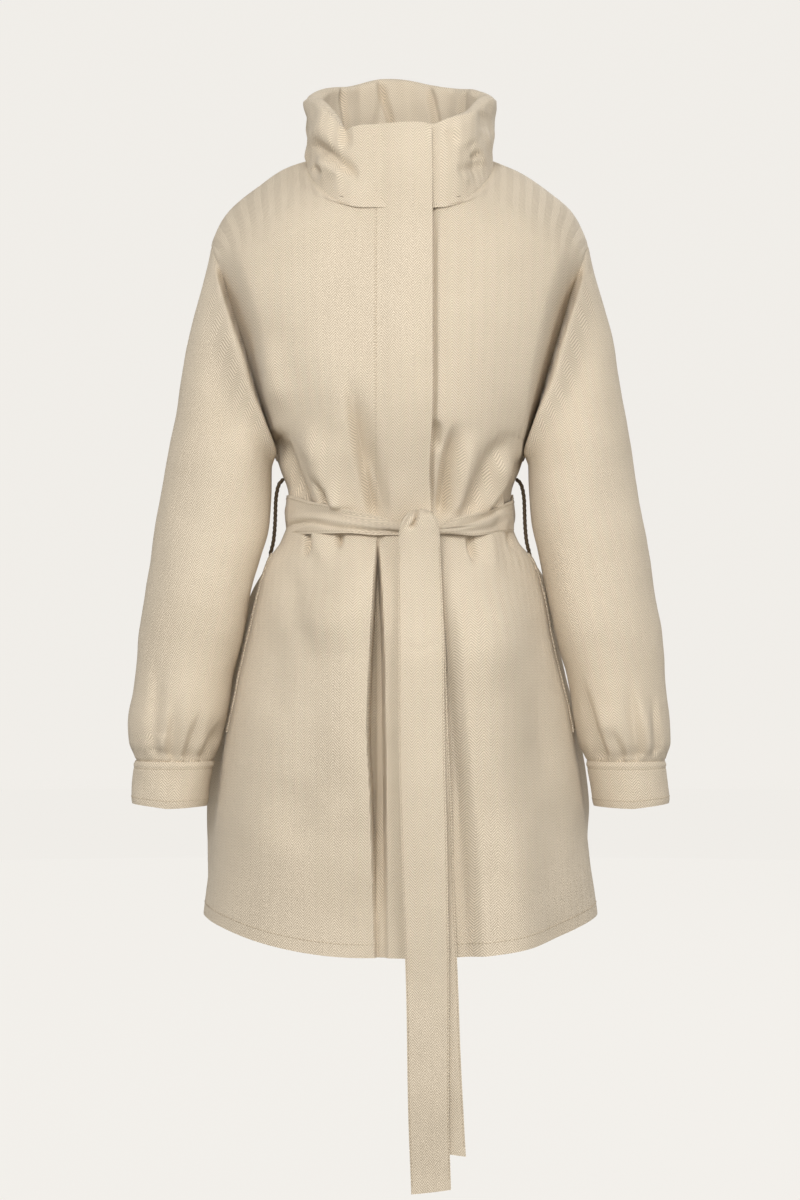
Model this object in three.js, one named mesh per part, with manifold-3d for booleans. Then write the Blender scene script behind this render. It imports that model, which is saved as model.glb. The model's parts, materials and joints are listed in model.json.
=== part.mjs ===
// Belted funnel-neck coat, built as its cut pieces: shell, lining, closure, pockets, collar, sleeves and sash belt.
// Millimetres. +Z is up, -Y is the front and +X is the wearer's left. The origin is the centre of the neck at the
// height where the shoulders begin, which is where a body or a hanger carries the coat.
import * as THREE from "three";
import { mergeVertices } from "three/addons/utils/BufferGeometryUtils.js";
import Module from "manifold-3d";

const wasm = await Module();
wasm.setup();

// ---- Driving dimensions ----
const CLOTH = 2; // shell cloth with its interfacing
const SEAM = 0.5; // clearance on each side of a seam
const HEM_FRONT = -884;
const HEM_SIDE = -851;
const HEM_BACK = -874;
const WAIST = -395;
const UNDERARM = -312;
const FLAT = 40; // half width of the flat front on which the closure lies
const EDGE = 7; // half the gap between the front edges, where the zip shows
const RIM_FRONT = 40; // height of the collar's top edge at the front
const NECK_FRONT = -53; // height of the neck seam at the front
const LEAN = 0.145; // how far the front leans forward for each millimetre down
const STRAIGHT_END = -266; // the front runs straight from the collar's rim down to here
const NECK_HALF_WIDTH = 105;
const NECK_BACK = 88;
const BELT_WIDTH = 50;
const BELT_THICK = 3;
const FLY_LEFT = -30; // sewn edge of the fly
const FLY_RIGHT = 36; // free edge of the fly
const FLY_IN = 3.8; // height of the fly's inner face over the shell
const FLY_OUT = 5.6;
const FLY_SPLIT = -262; // the fly lifts above this height
const ZIP_BOTTOM = -700;
const POCKET_TOP = -441;
const POCKET_BOTTOM = -642;

const BEIGE = 0xdccbaf;
const BEIGE_DARK = 0xc9b592;
const LINING = 0xb8a27e;
const METAL = 0xa89e8c;
const STRAP = 0x5d4a2c;

// ---- Small tools ----
const lerp = THREE.MathUtils.lerp;
const clamp = THREE.MathUtils.clamp;
const smooth = THREE.MathUtils.smoothstep;

// A smooth function through [place, value] pairs that never overshoots them.
function through(pairs) {
  const p = [...pairs].sort((a, b) => a[0] - b[0]);
  const step = p.slice(1).map((q, i) => (q[1] - p[i][1]) / (q[0] - p[i][0]));
  const slope = p.map((_, i) => {
    if (i === 0) return step[0];
    if (i === p.length - 1) return step[i - 1];
    return step[i - 1] * step[i] <= 0 ? 0 : (2 * step[i - 1] * step[i]) / (step[i - 1] + step[i]);
  });
  return (x) => {
    const at = clamp(x, p[0][0], p[p.length - 1][0]);
    let i = 0;
    while (i < p.length - 2 && at > p[i + 1][0]) i += 1;
    const h = p[i + 1][0] - p[i][0];
    const t = (at - p[i][0]) / h;
    const a = 2 * t ** 3 - 3 * t ** 2 + 1;
    const b = t ** 3 - 2 * t ** 2 + t;
    const c = t ** 3 - t ** 2;
    return a * p[i][1] + b * h * slope[i] + (1 - a) * p[i + 1][1] + c * h * slope[i + 1];
  };
}

// The point that lies off a surface by a distance along its normal.
function offset(surface, u, v, distance) {
  const d = 1e-3;
  const along = surface(Math.min(u + d, 1), v).sub(surface(Math.max(u - d, 0), v));
  const up = v > d ? surface(u, v).sub(surface(u, v - d)) : surface(u, v + d).sub(surface(u, v));
  const normal = along.cross(up).normalize();
  return surface(u, v).addScaledVector(normal, distance);
}

function spaced(a, b, steps) {
  return Array.from({ length: steps + 1 }, (_, i) => lerp(a, b, i / steps));
}

// A closed sheet of cloth over part of a surface, between two distances from it, with its rows at the given v.
function cloth({ surface, u = [0, 1], rows, from, to, across, flip = 1, ring = false }) {
  const columns = ring ? across : across + 1;
  const along = rows.length - 1;
  const points = [];
  for (const layer of [from, to])
    for (let j = 0; j <= along; j += 1)
      for (let i = 0; i < columns; i += 1) {
        const a = lerp(u[0], u[1], i / across);
        const b = rows[j];
        const lift = typeof layer === "function" ? layer(a, b) : layer;
        points.push(...offset(surface, a, b, lift * flip).toArray());
      }
  const at = (layer, i, j) => layer * columns * (along + 1) + j * columns + (i % columns);
  const faces = [];
  const quad = (a, b, c, d) => faces.push(a, b, c, a, c, d);
  for (let j = 0; j < along; j += 1)
    for (let i = 0; i < across; i += 1) {
      quad(at(1, i, j), at(1, i + 1, j), at(1, i + 1, j + 1), at(1, i, j + 1));
      quad(at(0, i, j), at(0, i, j + 1), at(0, i + 1, j + 1), at(0, i + 1, j));
    }
  for (let i = 0; i < across; i += 1) {
    quad(at(0, i, 0), at(0, i + 1, 0), at(1, i + 1, 0), at(1, i, 0));
    quad(at(0, i + 1, along), at(0, i, along), at(1, i, along), at(1, i + 1, along));
  }
  for (let j = 0; j < along && !ring; j += 1) {
    quad(at(0, 0, j + 1), at(0, 0, j), at(1, 0, j), at(1, 0, j + 1));
    quad(at(0, across, j), at(0, across, j + 1), at(1, across, j + 1), at(1, across, j));
  }
  const geometry = new THREE.BufferGeometry();
  geometry.setAttribute("position", new THREE.Float32BufferAttribute(points, 3));
  geometry.setIndex(faces);
  return facingOut(geometry);
}

// The same closed geometry with its faces pointing out.
function facingOut(geometry) {
  const p = geometry.getAttribute("position");
  const index = geometry.index.array;
  const [a, b, c] = [new THREE.Vector3(), new THREE.Vector3(), new THREE.Vector3()];
  let volume = 0;
  for (let i = 0; i < index.length; i += 3) {
    a.fromBufferAttribute(p, index[i]);
    b.fromBufferAttribute(p, index[i + 1]);
    c.fromBufferAttribute(p, index[i + 2]);
    volume += a.dot(b.cross(c));
  }
  if (volume < 0)
    for (let i = 0; i < index.length; i += 3)
      [index[i + 1], index[i + 2]] = [index[i + 2], index[i + 1]];
  geometry.computeVertexNormals();
  return geometry;
}

function solid(geometry) {
  const bare = geometry.clone();
  for (const name of Object.keys(bare.attributes)) if (name !== "position") bare.deleteAttribute(name);
  const merged = mergeVertices(bare, 1e-4);
  const vertProperties = new Float32Array(merged.getAttribute("position").array);
  const triVerts = new Uint32Array(merged.index.array);
  return new wasm.Manifold(new wasm.Mesh({ numProp: 3, vertProperties, triVerts }));
}

// A geometry less the geometries that are cut out of it.
function cut(geometry, ...tools) {
  let body = solid(geometry);
  for (const tool of tools) body = body.subtract(solid(tool));
  const mesh = body.getMesh();
  const result = new THREE.BufferGeometry();
  const place = new Float32Array(mesh.numVert * 3);
  for (let i = 0; i < mesh.numVert; i += 1)
    place.set(mesh.vertProperties.subarray(i * mesh.numProp, i * mesh.numProp + 3), i * 3);
  result.setAttribute("position", new THREE.BufferAttribute(place, 3));
  result.setIndex(new THREE.BufferAttribute(mesh.triVerts, 1));
  result.computeVertexNormals();
  return result;
}

const coat = new THREE.Group();

function add(name, geometry, colour, roughness = 0.9, metalness = 0) {
  const material = new THREE.MeshStandardMaterial({ color: colour, roughness, metalness });
  const mesh = new THREE.Mesh(geometry, material);
  mesh.name = name;
  coat.add(mesh);
  return mesh;
}

// ---- The body's shape ----
const halfWidth = through([
  [-900, 230], [-853, 226], [-780, 217], [-720, 211], [-640, 200], [-584, 188], [-532, 175],
  [-480, 163], [-446, 151], [-425, 135], [WAIST, 128], [-370, 128], [-343, 136], [UNDERARM, 148],
]);
const backDepth = through([
  [-900, 166], [-700, 158], [-600, 150], [-530, 138], [-446, 113], [WAIST, 97], [-343, 105],
  [-228, 124], [-130, 119], [-50, 104], [22, NECK_BACK],
]);
const lowerFront = through([
  [-900, 168], [-700, 160], [-584, 150], [-500, 137], [-446, 121], [WAIST, 102], [-343, 122],
  [-300, 138], [STRAIGHT_END, 100 + LEAN * (RIM_FRONT - STRAIGHT_END)],
]);

function frontDepth(z) {
  return z >= STRAIGHT_END ? 100 + LEAN * (RIM_FRONT - z) : lowerFront(z);
}

// A point on the neck seam or on the collar's rim. The angle runs from the front round to the back.
function neckPoint(side, angle, rise) {
  const a = NECK_HALF_WIDTH + 4 * rise;
  const base = -3.75 - 37.5 * Math.cos(angle) - 11.75 * Math.cos(2 * angle);
  const rim = 81.25 - 39.5 * Math.cos(angle) - 1.75 * Math.cos(2 * angle);
  const z = lerp(base, rim, rise);
  if (angle > Math.PI / 2)
    return new THREE.Vector3(side * a * Math.sin(angle), -(NECK_BACK + 9 * rise) * Math.cos(angle), z);
  const front = frontDepth(lerp(NECK_FRONT, RIM_FRONT, rise));
  return new THREE.Vector3(side * (FLAT + (a - FLAT) * Math.sin(angle)), -front * Math.cos(angle), z);
}

// The armhole seam as a ring: 0 is the top of the shoulder, 90 degrees the front and 180 the underarm.
const ARMHOLE = {
  outer: new THREE.Vector3(214, 0, -88),
  inner: new THREE.Vector3(148, 0, UNDERARM),
  front: new THREE.Vector3(180, -54, -195),
  back: new THREE.Vector3(182, 56, -195),
};

function ringPoint(stations, angle) {
  const centre = stations.outer.clone().add(stations.inner).multiplyScalar(0.5);
  const reach = stations.outer.clone().sub(centre).multiplyScalar(Math.cos(angle));
  const face = (Math.sin(angle) >= 0 ? stations.front : stations.back).clone().sub(centre);
  return centre.add(reach).addScaledVector(face, Math.abs(Math.sin(angle)));
}

// Heights of the rows of a front or back panel: v at the inner edge and at the outer edge.
const WAIST_ROW = 0.5;
const UNDERARM_ROW = 0.6;
const NECK_ROW = 0.8;
const ARMHOLE_TURN = Math.PI / 3; // angle of the armhole ring that the row of the neck seam meets

const outerHeight = through([[0, HEM_SIDE], [WAIST_ROW, WAIST], [UNDERARM_ROW, UNDERARM]]);
const frontHeight = through([[0, HEM_FRONT], [WAIST_ROW, WAIST], [UNDERARM_ROW, -302], [NECK_ROW, NECK_FRONT]]);
const backHeight = through([[0, HEM_BACK], [WAIST_ROW, WAIST], [UNDERARM_ROW, -302], [NECK_ROW, 22]]);

// Every layer of the coat breaks at these rows, so that the layers lie parallel.
const ROWS = [
  ...spaced(0, WAIST_ROW, 14),
  ...spaced(WAIST_ROW, UNDERARM_ROW, 3).slice(1),
  ...spaced(UNDERARM_ROW, NECK_ROW, 5).slice(1),
  ...spaced(NECK_ROW, 0.997, 3).slice(1),
];
const rowsBetween = (a, b) => [a, ...ROWS.filter((v) => v > a + 0.002 && v < b - 0.002), b];

function panelEdges(side, back, v) {
  const sign = back ? -1 : 1;
  const innerHeight = back ? backHeight : frontHeight;
  const outer = new THREE.Vector3(side * halfWidth(outerHeight(v)), 0, outerHeight(v));
  if (v > UNDERARM_ROW) {
    const angle = v < NECK_ROW
      ? lerp(Math.PI, ARMHOLE_TURN, (v - UNDERARM_ROW) / (NECK_ROW - UNDERARM_ROW))
      : lerp(ARMHOLE_TURN, 0, (v - NECK_ROW) / (1 - NECK_ROW));
    outer.copy(ringPoint(ARMHOLE, sign * angle));
    outer.x *= side;
  }
  let inner;
  if (v > NECK_ROW) {
    const turn = ((v - NECK_ROW) / (1 - NECK_ROW)) * (Math.PI / 2);
    inner = neckPoint(side, back ? Math.PI - turn : turn, 0);
  } else {
    const z = innerHeight(v);
    inner = new THREE.Vector3(0, back ? backDepth(z) : -frontDepth(z), z);
  }
  return { inner, outer };
}

// The outer face of the shell: u runs from the middle of the front or back to the side, v from hem to shoulder.
function panel(side, back) {
  return (u, v) => {
    const { inner, outer } = panelEdges(side, back, v);
    const flat = back ? 0 : FLAT;
    const start = Math.max(Math.abs(inner.x), flat);
    const first = start - Math.abs(inner.x);
    const width = Math.abs(outer.x) - start;
    const rest = 0.5 * Math.PI * Math.hypot(width, outer.y - inner.y) * Math.SQRT1_2;
    const run = u * (first + rest);
    if (run < first) return new THREE.Vector3(side * (Math.abs(inner.x) + run), inner.y, inner.z);
    const angle = ((run - first) / rest) * (Math.PI / 2);
    const x = start + width * Math.sin(angle);
    const y = lerp(outer.y, inner.y, Math.cos(angle));
    const z = lerp(inner.z, outer.z, Math.sin(angle) ** 2);
    return new THREE.Vector3(side * x, y, z);
  };
}

// The share of a panel's width at which it reaches a distance from the middle, on the flat front.
function shareAt(side, distance, v) {
  const near = panel(side, false);
  let [low, high] = [0, 0.5];
  for (let i = 0; i < 24; i += 1) {
    const middle = (low + high) / 2;
    if (Math.abs(near(middle, v).x) < distance) low = middle;
    else high = middle;
  }
  return low;
}

function rowAt(height) {
  return height < WAIST
    ? (WAIST_ROW * (height - HEM_SIDE)) / (WAIST - HEM_SIDE)
    : lerp(WAIST_ROW, UNDERARM_ROW, (height - WAIST) / (UNDERARM - WAIST));
}

// A front panel starts at the closure's edge, so its u is stretched between that edge and the side seam.
function frontPanel(side, edge) {
  const surface = panel(side, false);
  return (u, v) => surface(lerp(v <= NECK_ROW ? shareAt(side, edge, v) : 0, 1, u), v);
}

// The collar's outer face: u runs from the right front edge round the back to the left front edge.
function collarSurface(u, v) {
  const side = u < 0.5 ? -1 : 1;
  const share = 1 - Math.abs(1 - 2 * u); // 0 at the front edge, 1 at the middle of the back
  const straight = 0.11;
  if (share < straight) {
    const z = lerp(NECK_FRONT, RIM_FRONT, v);
    return new THREE.Vector3(side * lerp(EDGE, FLAT, share / straight), -frontDepth(z), z);
  }
  return neckPoint(side, ((share - straight) / (1 - straight)) * Math.PI, v);
}

// ---- Shell ----
const SIDES = [["left", 1], ["right", -1]];
const pocketRows = rowsBetween(rowAt(POCKET_BOTTOM), rowAt(POCKET_TOP));
const SEAM_U = 0.0025;

for (const [name, side] of SIDES) {
  const front = frontPanel(side, EDGE);
  const whole = cloth({
    surface: front, u: [0, 1 - SEAM_U], rows: ROWS, from: -CLOTH, to: 0, across: 10, flip: side,
  });
  const slot = cloth({
    surface: front, u: [0.955, 1], rows: pocketRows, from: -6, to: 6, across: 2, flip: side,
  });
  const neckline = cloth({
    surface: collarSurface, rows: [0, 0.2], from: -24, to: 3, across: 32, flip: -1,
  });
  add(`front_${name}`, cut(whole, slot, neckline), BEIGE);
  const rear = panel(side, true);
  add(`back_${name}`, cloth({
    surface: rear, u: [SEAM_U, 1 - SEAM_U], rows: ROWS, from: -CLOTH, to: 0, across: 10, flip: -side,
  }), BEIGE);
}

// ---- Lining, which hangs clear of the pocket bags ----
const LINING_THICK = 1.2;
const pocketRoom = (v) => 18 * smooth(v, 0.06, 0.14) * (1 - smooth(v, 0.465, 0.56));
for (const [name, side] of SIDES) {
  const layer = (depth) => (u, v) => -5.5 - depth - pocketRoom(v);
  add(`lining_front_${name}`, cloth({
    surface: frontPanel(side, 24), u: [0, 0.985], rows: rowsBetween(0.04, 0.96), from: layer(LINING_THICK),
    to: layer(0), across: 10, flip: side,
  }), LINING);
  add(`lining_back_${name}`, cloth({
    surface: panel(side, true), u: [0.006, 0.985], rows: rowsBetween(0.04, 0.96), from: layer(LINING_THICK),
    to: layer(0), across: 10, flip: -side,
  }), LINING);
}

// ---- Pockets in the side seams: a stitched welt in front of the opening and a bag behind it ----
for (const [name, side] of SIDES) {
  const front = frontPanel(side, EDGE);
  add(`pocket_welt_${name}`, cloth({
    surface: front, u: [0.89, 0.952], rows: pocketRows, from: 0.4, to: 1.9, across: 2, flip: side,
  }), BEIGE_DARK);
  const bottom = rowAt(-700);
  const top = rowAt(POCKET_TOP + 8);
  const bag = cloth({
    surface: front, u: [0.42, 0.985], rows: rowsBetween(bottom, top), from: -20, to: -5, across: 6, flip: side,
  });
  const cavity = cloth({
    surface: front, u: [0.44, 1], rows: rowsBetween(bottom + 0.006, top - 0.006), from: -19, to: -6,
    across: 6, flip: side,
  });
  const mouth = cloth({
    surface: front, u: [0.94, 1], rows: rowsBetween(pocketRows[0], top - 0.006), from: -18, to: 4, across: 2,
    flip: side,
  });
  add(`pocket_bag_${name}`, cut(bag, cavity, mouth), LINING);
}

// ---- Collar: outer cloth, wadding and inner cloth, open at the front where the zip runs ----
const RIM_ROOM = 0.985;
const collarPad = (u) => 10 * smooth(1 - Math.abs(1 - 2 * u), 0.1, 0.3);
add("collar_outer", cloth({
  surface: collarSurface, rows: spaced(0.012, RIM_ROOM, 4), from: -CLOTH, to: 0, across: 32, flip: -1,
}), BEIGE);
add("collar_wadding", cloth({
  surface: collarSurface, u: [0.0625, 0.9375], rows: spaced(0.03, 0.96, 2), from: (u) => -3.2 - collarPad(u),
  to: -CLOTH - 0.4, across: 28, flip: -1,
}), 0xe9e4d8);
add("collar_inner", cloth({
  surface: collarSurface, rows: spaced(0.03, RIM_ROOM, 4), from: (u) => -5.6 - collarPad(u),
  to: (u) => -3.7 - collarPad(u), across: 32, flip: -1,
}), BEIGE_DARK);

// ---- Front closure: a fly over a zip, with press studs ----
// The closure runs up the flat front, so it has a surface of its own across which x is u and z is a share of v.
const closureRow = (z) => (z - HEM_FRONT) / (RIM_FRONT - HEM_FRONT);
function closure(x0, x1) {
  return (u, v) => {
    const z = lerp(HEM_FRONT, RIM_FRONT, v);
    return new THREE.Vector3(lerp(x0, x1, u), -frontDepth(z), z);
  };
}
function closureRows(low, high) {
  const breaks = ROWS.filter((v) => v <= NECK_ROW).map(frontHeight);
  return [low, ...breaks.filter((z) => z > low + 2 && z < high - 2), high].map(closureRow);
}

// The fly is sewn down along its right edge and rises from there to pass over the zip.
const flyRise = smooth;
function fly(low, high) {
  const lift = (height) => (u) => height + (FLY_IN - 0.4) * (flyRise(u, 0, 0.14) - 1);
  return cloth({
    surface: closure(FLY_LEFT, FLY_RIGHT), rows: closureRows(low, high), from: lift(FLY_IN), to: lift(FLY_OUT),
    across: 8,
  });
}
add("fly_lower", fly(HEM_FRONT, FLY_SPLIT - SEAM), BEIGE);
add("fly_upper", fly(FLY_SPLIT + SEAM, RIM_FRONT), BEIGE);

const ZIP_TOP = 36;
const COIL_IN = 0.6;
const COIL_OUT = 2.6;
for (const [name, side] of SIDES) {
  const zip = (a, b, from, to) => cloth({
    surface: closure(side * a, side * b), rows: closureRows(ZIP_BOTTOM, ZIP_TOP), from, to, across: 1, flip: side,
  });
  add(`zip_tape_${name}`, zip(COIL_OUT + 0.3, 15, -3.5, -2.7), BEIGE_DARK);
  add(`zip_coil_${name}`, zip(COIL_IN, COIL_OUT, -4.1, -2.1), BEIGE_DARK, 0.5);
}

// A frame that stands on the closure at a height: its z runs up the front and its -y points out of it.
function onClosure(z, x = 0) {
  const frame = new THREE.Group();
  frame.position.set(x, -frontDepth(z), z);
  const rise = (frontDepth(z - 1) - frontDepth(z + 1)) / 2;
  frame.rotation.x = -Math.atan(rise);
  coat.add(frame);
  return frame;
}

function place(frame, mesh) {
  frame.add(mesh);
  return mesh;
}

function block(width, depth, height, x = 0, y = 0, z = 0) {
  return new THREE.BoxGeometry(width, depth, height).translate(x, y, z);
}

const SLIDER_LENGTH = 11;
const SLIDER_WIDTH = 9;
const SLIDER_HEIGHT = 26; // where the closed slider stands
const slider = cut(
  block(SLIDER_WIDTH, 5.2, SLIDER_LENGTH, 0, 3.2),
  block(5.2, 2.8, SLIDER_LENGTH + 2, COIL_IN - 0.3 + 2.6, 3.1),
  block(5.2, 2.8, SLIDER_LENGTH + 2, -(COIL_IN - 0.3 + 2.6), 3.1),
);
const head = onClosure(SLIDER_HEIGHT);
place(head, add("zip_slider", slider, METAL, 0.35, 1));
const pullShape = new THREE.Shape();
pullShape.moveTo(-2.6, 0);
pullShape.lineTo(-3.2, -22);
pullShape.absarc(0, -22, 3.2, Math.PI, 2 * Math.PI, false);
pullShape.lineTo(2.6, 0);
pullShape.absarc(0, 0, 2.6, 0, Math.PI, false);
const pull = new THREE.ExtrudeGeometry(pullShape, { depth: 1.2, bevelEnabled: false, curveSegments: 6 });
pull.rotateX(Math.PI / 2).translate(0, -0.2, 2);
place(head, add("zip_pull", pull, METAL, 0.35, 1));
for (const [name, side] of SIDES)
  place(onClosure(33.2, side * 1.7), add(`zip_stop_${name}`, block(2.6, 0.9, 2.4, 0, 1.3), METAL, 0.4, 1));
place(onClosure(ZIP_BOTTOM - 5), add("zip_box", block(8, 3, 8, 0, 2.6), METAL, 0.4, 1));

// Press studs: the stud is on the left front and the socket inside the fly.
const STUD_X = 24;
const STUD_HEIGHTS = [8, -95, -205, -320, -520, -650];
STUD_HEIGHTS.forEach((z, i) => {
  const frame = onClosure(z, STUD_X);
  const outline = [[0, 0.3], [5.5, 0.3], [5.5, 1], [2, 1], [2, 2.3], [0, 2.3]];
  const stud = new THREE.LatheGeometry(outline.map(([r, h]) => new THREE.Vector2(r, h)), 12);
  stud.rotateX(Math.PI);
  const ring = [[2.4, 1.5], [5.8, 1.5], [5.8, 2.7], [2.4, 2.7], [2.4, 1.5]];
  const socket = new THREE.LatheGeometry(ring.map(([r, h]) => new THREE.Vector2(r, h)), 12);
  socket.rotateX(Math.PI);
  place(frame, add(`stud_${i + 1}`, stud, METAL, 0.4, 1));
  place(frame, add(`stud_socket_${i + 1}`, socket, METAL, 0.4, 1));
});

// ---- Sleeves: a top sleeve and an under sleeve, gathered into a cuff ----
const v3 = (x, y, z) => new THREE.Vector3(x, y, z);
const ARM = {
  outer: [ARMHOLE.outer, v3(240, -2, -182), v3(262, -4, -300), v3(284, -6, -425), v3(299, -12, -530),
    v3(304, -20, -620), v3(302, -26, -676)],
  inner: [ARMHOLE.inner, v3(149, -10, -348), v3(152, -16, -402), v3(165, -22, -470), v3(184, -28, -545),
    v3(203, -30, -615), v3(214, -28, -676)],
  front: [ARMHOLE.front, v3(188, -62, -265), v3(202, -66, -345), v3(222, -70, -448), v3(240, -76, -538),
    v3(254, -76, -618), v3(258, -66, -676)],
  back: [ARMHOLE.back, v3(188, 58, -265), v3(202, 52, -345), v3(222, 46, -448), v3(240, 36, -538),
    v3(252, 26, -618), v3(258, 13, -676)],
};
const armLines = Object.fromEntries(
  Object.entries(ARM).map(([name, points]) => [name, new THREE.CatmullRomCurve3(points)]),
);

// u is the turn round the arm from the outside by way of the front, v the way down from the armhole.
function sleeve(side, start, turn) {
  return (u, v) => {
    const stations = Object.fromEntries(
      Object.entries(armLines).map(([name, line]) => [name, line.getPoint(v)]),
    );
    const point = ringPoint(stations, start + u * turn);
    point.x *= side;
    return point;
  };
}

const CUFF_TOP = -677;
const CUFF_BOTTOM = -728;

function cuff(side) {
  return (u, v) => {
    const angle = u * 2 * Math.PI;
    const z = lerp(CUFF_BOTTOM + 5 * Math.abs(Math.cos(angle)), CUFF_TOP, v);
    const x = lerp(263.5, 258, v) + lerp(43.5, 45.5, v) * Math.cos(angle);
    return new THREE.Vector3(side * x, -27 - 39 * Math.sin(angle), z);
  };
}

for (const [name, side] of SIDES) {
  const half = (start) => cloth({
    surface: sleeve(side, start, Math.PI), u: [0.004, 0.996], rows: spaced(0.008, 1, 16), from: -CLOTH, to: 0,
    across: 8, flip: side,
  });
  add(`sleeve_top_${name}`, half(-Math.PI / 2), BEIGE);
  add(`sleeve_under_${name}`, half(Math.PI / 2), BEIGE);
  add(`sleeve_lining_${name}`, cloth({
    surface: sleeve(side, 0, 2 * Math.PI), rows: spaced(0.06, 0.97, 12), from: -7.2, to: -6, across: 16,
    ring: true, flip: side,
  }), LINING);
  add(`cuff_${name}`, cloth({
    surface: cuff(side), rows: spaced(0, 1, 2), from: -3.4, to: 0, across: 20, ring: true, flip: -side,
  }), BEIGE);
}

// ---- Belt: one sash round the waist, its knot and its two hanging ends ----
const beltTop = (turn) => lerp(-372, -402, smooth(Math.cos(turn), 0.2, 0.95));
const beltBottom = -420;

// u goes once round the waist from the front.
function waistband(u, v) {
  const turn = u * 2 * Math.PI;
  const z = lerp(beltBottom, beltTop(turn), v);
  const proud = 2.8 + (FLY_OUT + 1.2) * smooth(Math.cos(turn), 0.5, 0.85);
  const a = halfWidth(z) + proud;
  const front = Math.cos(turn) > 0;
  const x = front
    ? Math.sign(Math.sin(turn)) * FLAT * smooth(Math.abs(Math.sin(turn)), 0, 0.3) + (a - FLAT) * Math.sin(turn)
    : a * Math.sin(turn);
  const depth = front ? frontDepth(z) : backDepth(z);
  return new THREE.Vector3(x, -(depth + proud) * Math.cos(turn), z);
}
add("belt_wrap", cloth({
  surface: waistband, rows: [0, 0.5, 1], from: 0, to: BELT_THICK, across: 48, ring: true,
}), BEIGE);

const KNOT_X = 21;
const knotY = -(frontDepth(WAIST) + 26.5);
const knot = new THREE.SphereGeometry(1, 14, 10).scale(25, 11, 19).translate(KNOT_X, knotY, -404);
add("belt_knot", knot, BEIGE);

// The way that a hanging end takes: the middle of its width and how far it stands off the skirt's front.
function tail(middle, stand, top, bottom) {
  const spread = through(middle);
  return (u, v) => {
    const z = lerp(bottom, top, v);
    const y = -frontDepth(Math.max(z, -860)) - stand;
    return new THREE.Vector3(spread(z) + lerp(-0.5, 0.5, u) * (BELT_WIDTH - 3), y, z);
  };
}
const HANG_TOP = -433;
const tails = [
  ["belt_end_front", [[-1150, 34], [-860, 30], [-640, 22], [-400, 21]], 16, HANG_TOP, -1138],
  ["belt_end_rear", [[-1150, 52], [-860, 38], [-640, 28], [-400, 23]], 9, HANG_TOP - 4, -1098],
];
for (const [name, middle, stand, top, bottom] of tails)
  add(name, cloth({
    surface: tail(middle, stand, top, bottom), rows: spaced(0, 1, 20), from: 0, to: BELT_THICK, across: 2,
  }), BEIGE);

// ---- Belt loops at the side seams and the loop that hangs the coat from a hook ----
function strap(points, width, thick, steps) {
  const path = new THREE.CatmullRomCurve3(points);
  const section = new THREE.Shape();
  section.moveTo(-thick / 2, -width / 2);
  section.lineTo(thick / 2, -width / 2);
  section.lineTo(thick / 2, width / 2);
  section.lineTo(-thick / 2, width / 2);
  section.closePath();
  return new THREE.ExtrudeGeometry(section, { steps, extrudePath: path, bevelEnabled: false });
}
for (const [name, side] of SIDES)
  add(`belt_loop_${name}`, strap([
    v3(side * 134.6, 0, -355), v3(side * 140, 0, -362), v3(side * 142.6, 0, -380), v3(side * 142.8, 0, -402),
    v3(side * 145, 0, -422), v3(side * 150.8, 0, -440),
  ], 6, 1.4, 12), STRAP);

const LOOP_Y = 65;
const LOOP_Z = 14;
add("hang_loop", strap([
  v3(-34, LOOP_Y, LOOP_Z), v3(-31, LOOP_Y, LOOP_Z - 14), v3(-18, LOOP_Y, LOOP_Z - 20),
  v3(0, LOOP_Y, LOOP_Z - 21), v3(18, LOOP_Y, LOOP_Z - 20), v3(31, LOOP_Y, LOOP_Z - 14),
  v3(34, LOOP_Y, LOOP_Z),
], 1.4, 5, 20), LINING);

export default coat;
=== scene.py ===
import json
import math

import bpy
import numpy as np
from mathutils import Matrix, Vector, noise
from mathutils.kdtree import KDTree

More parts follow.
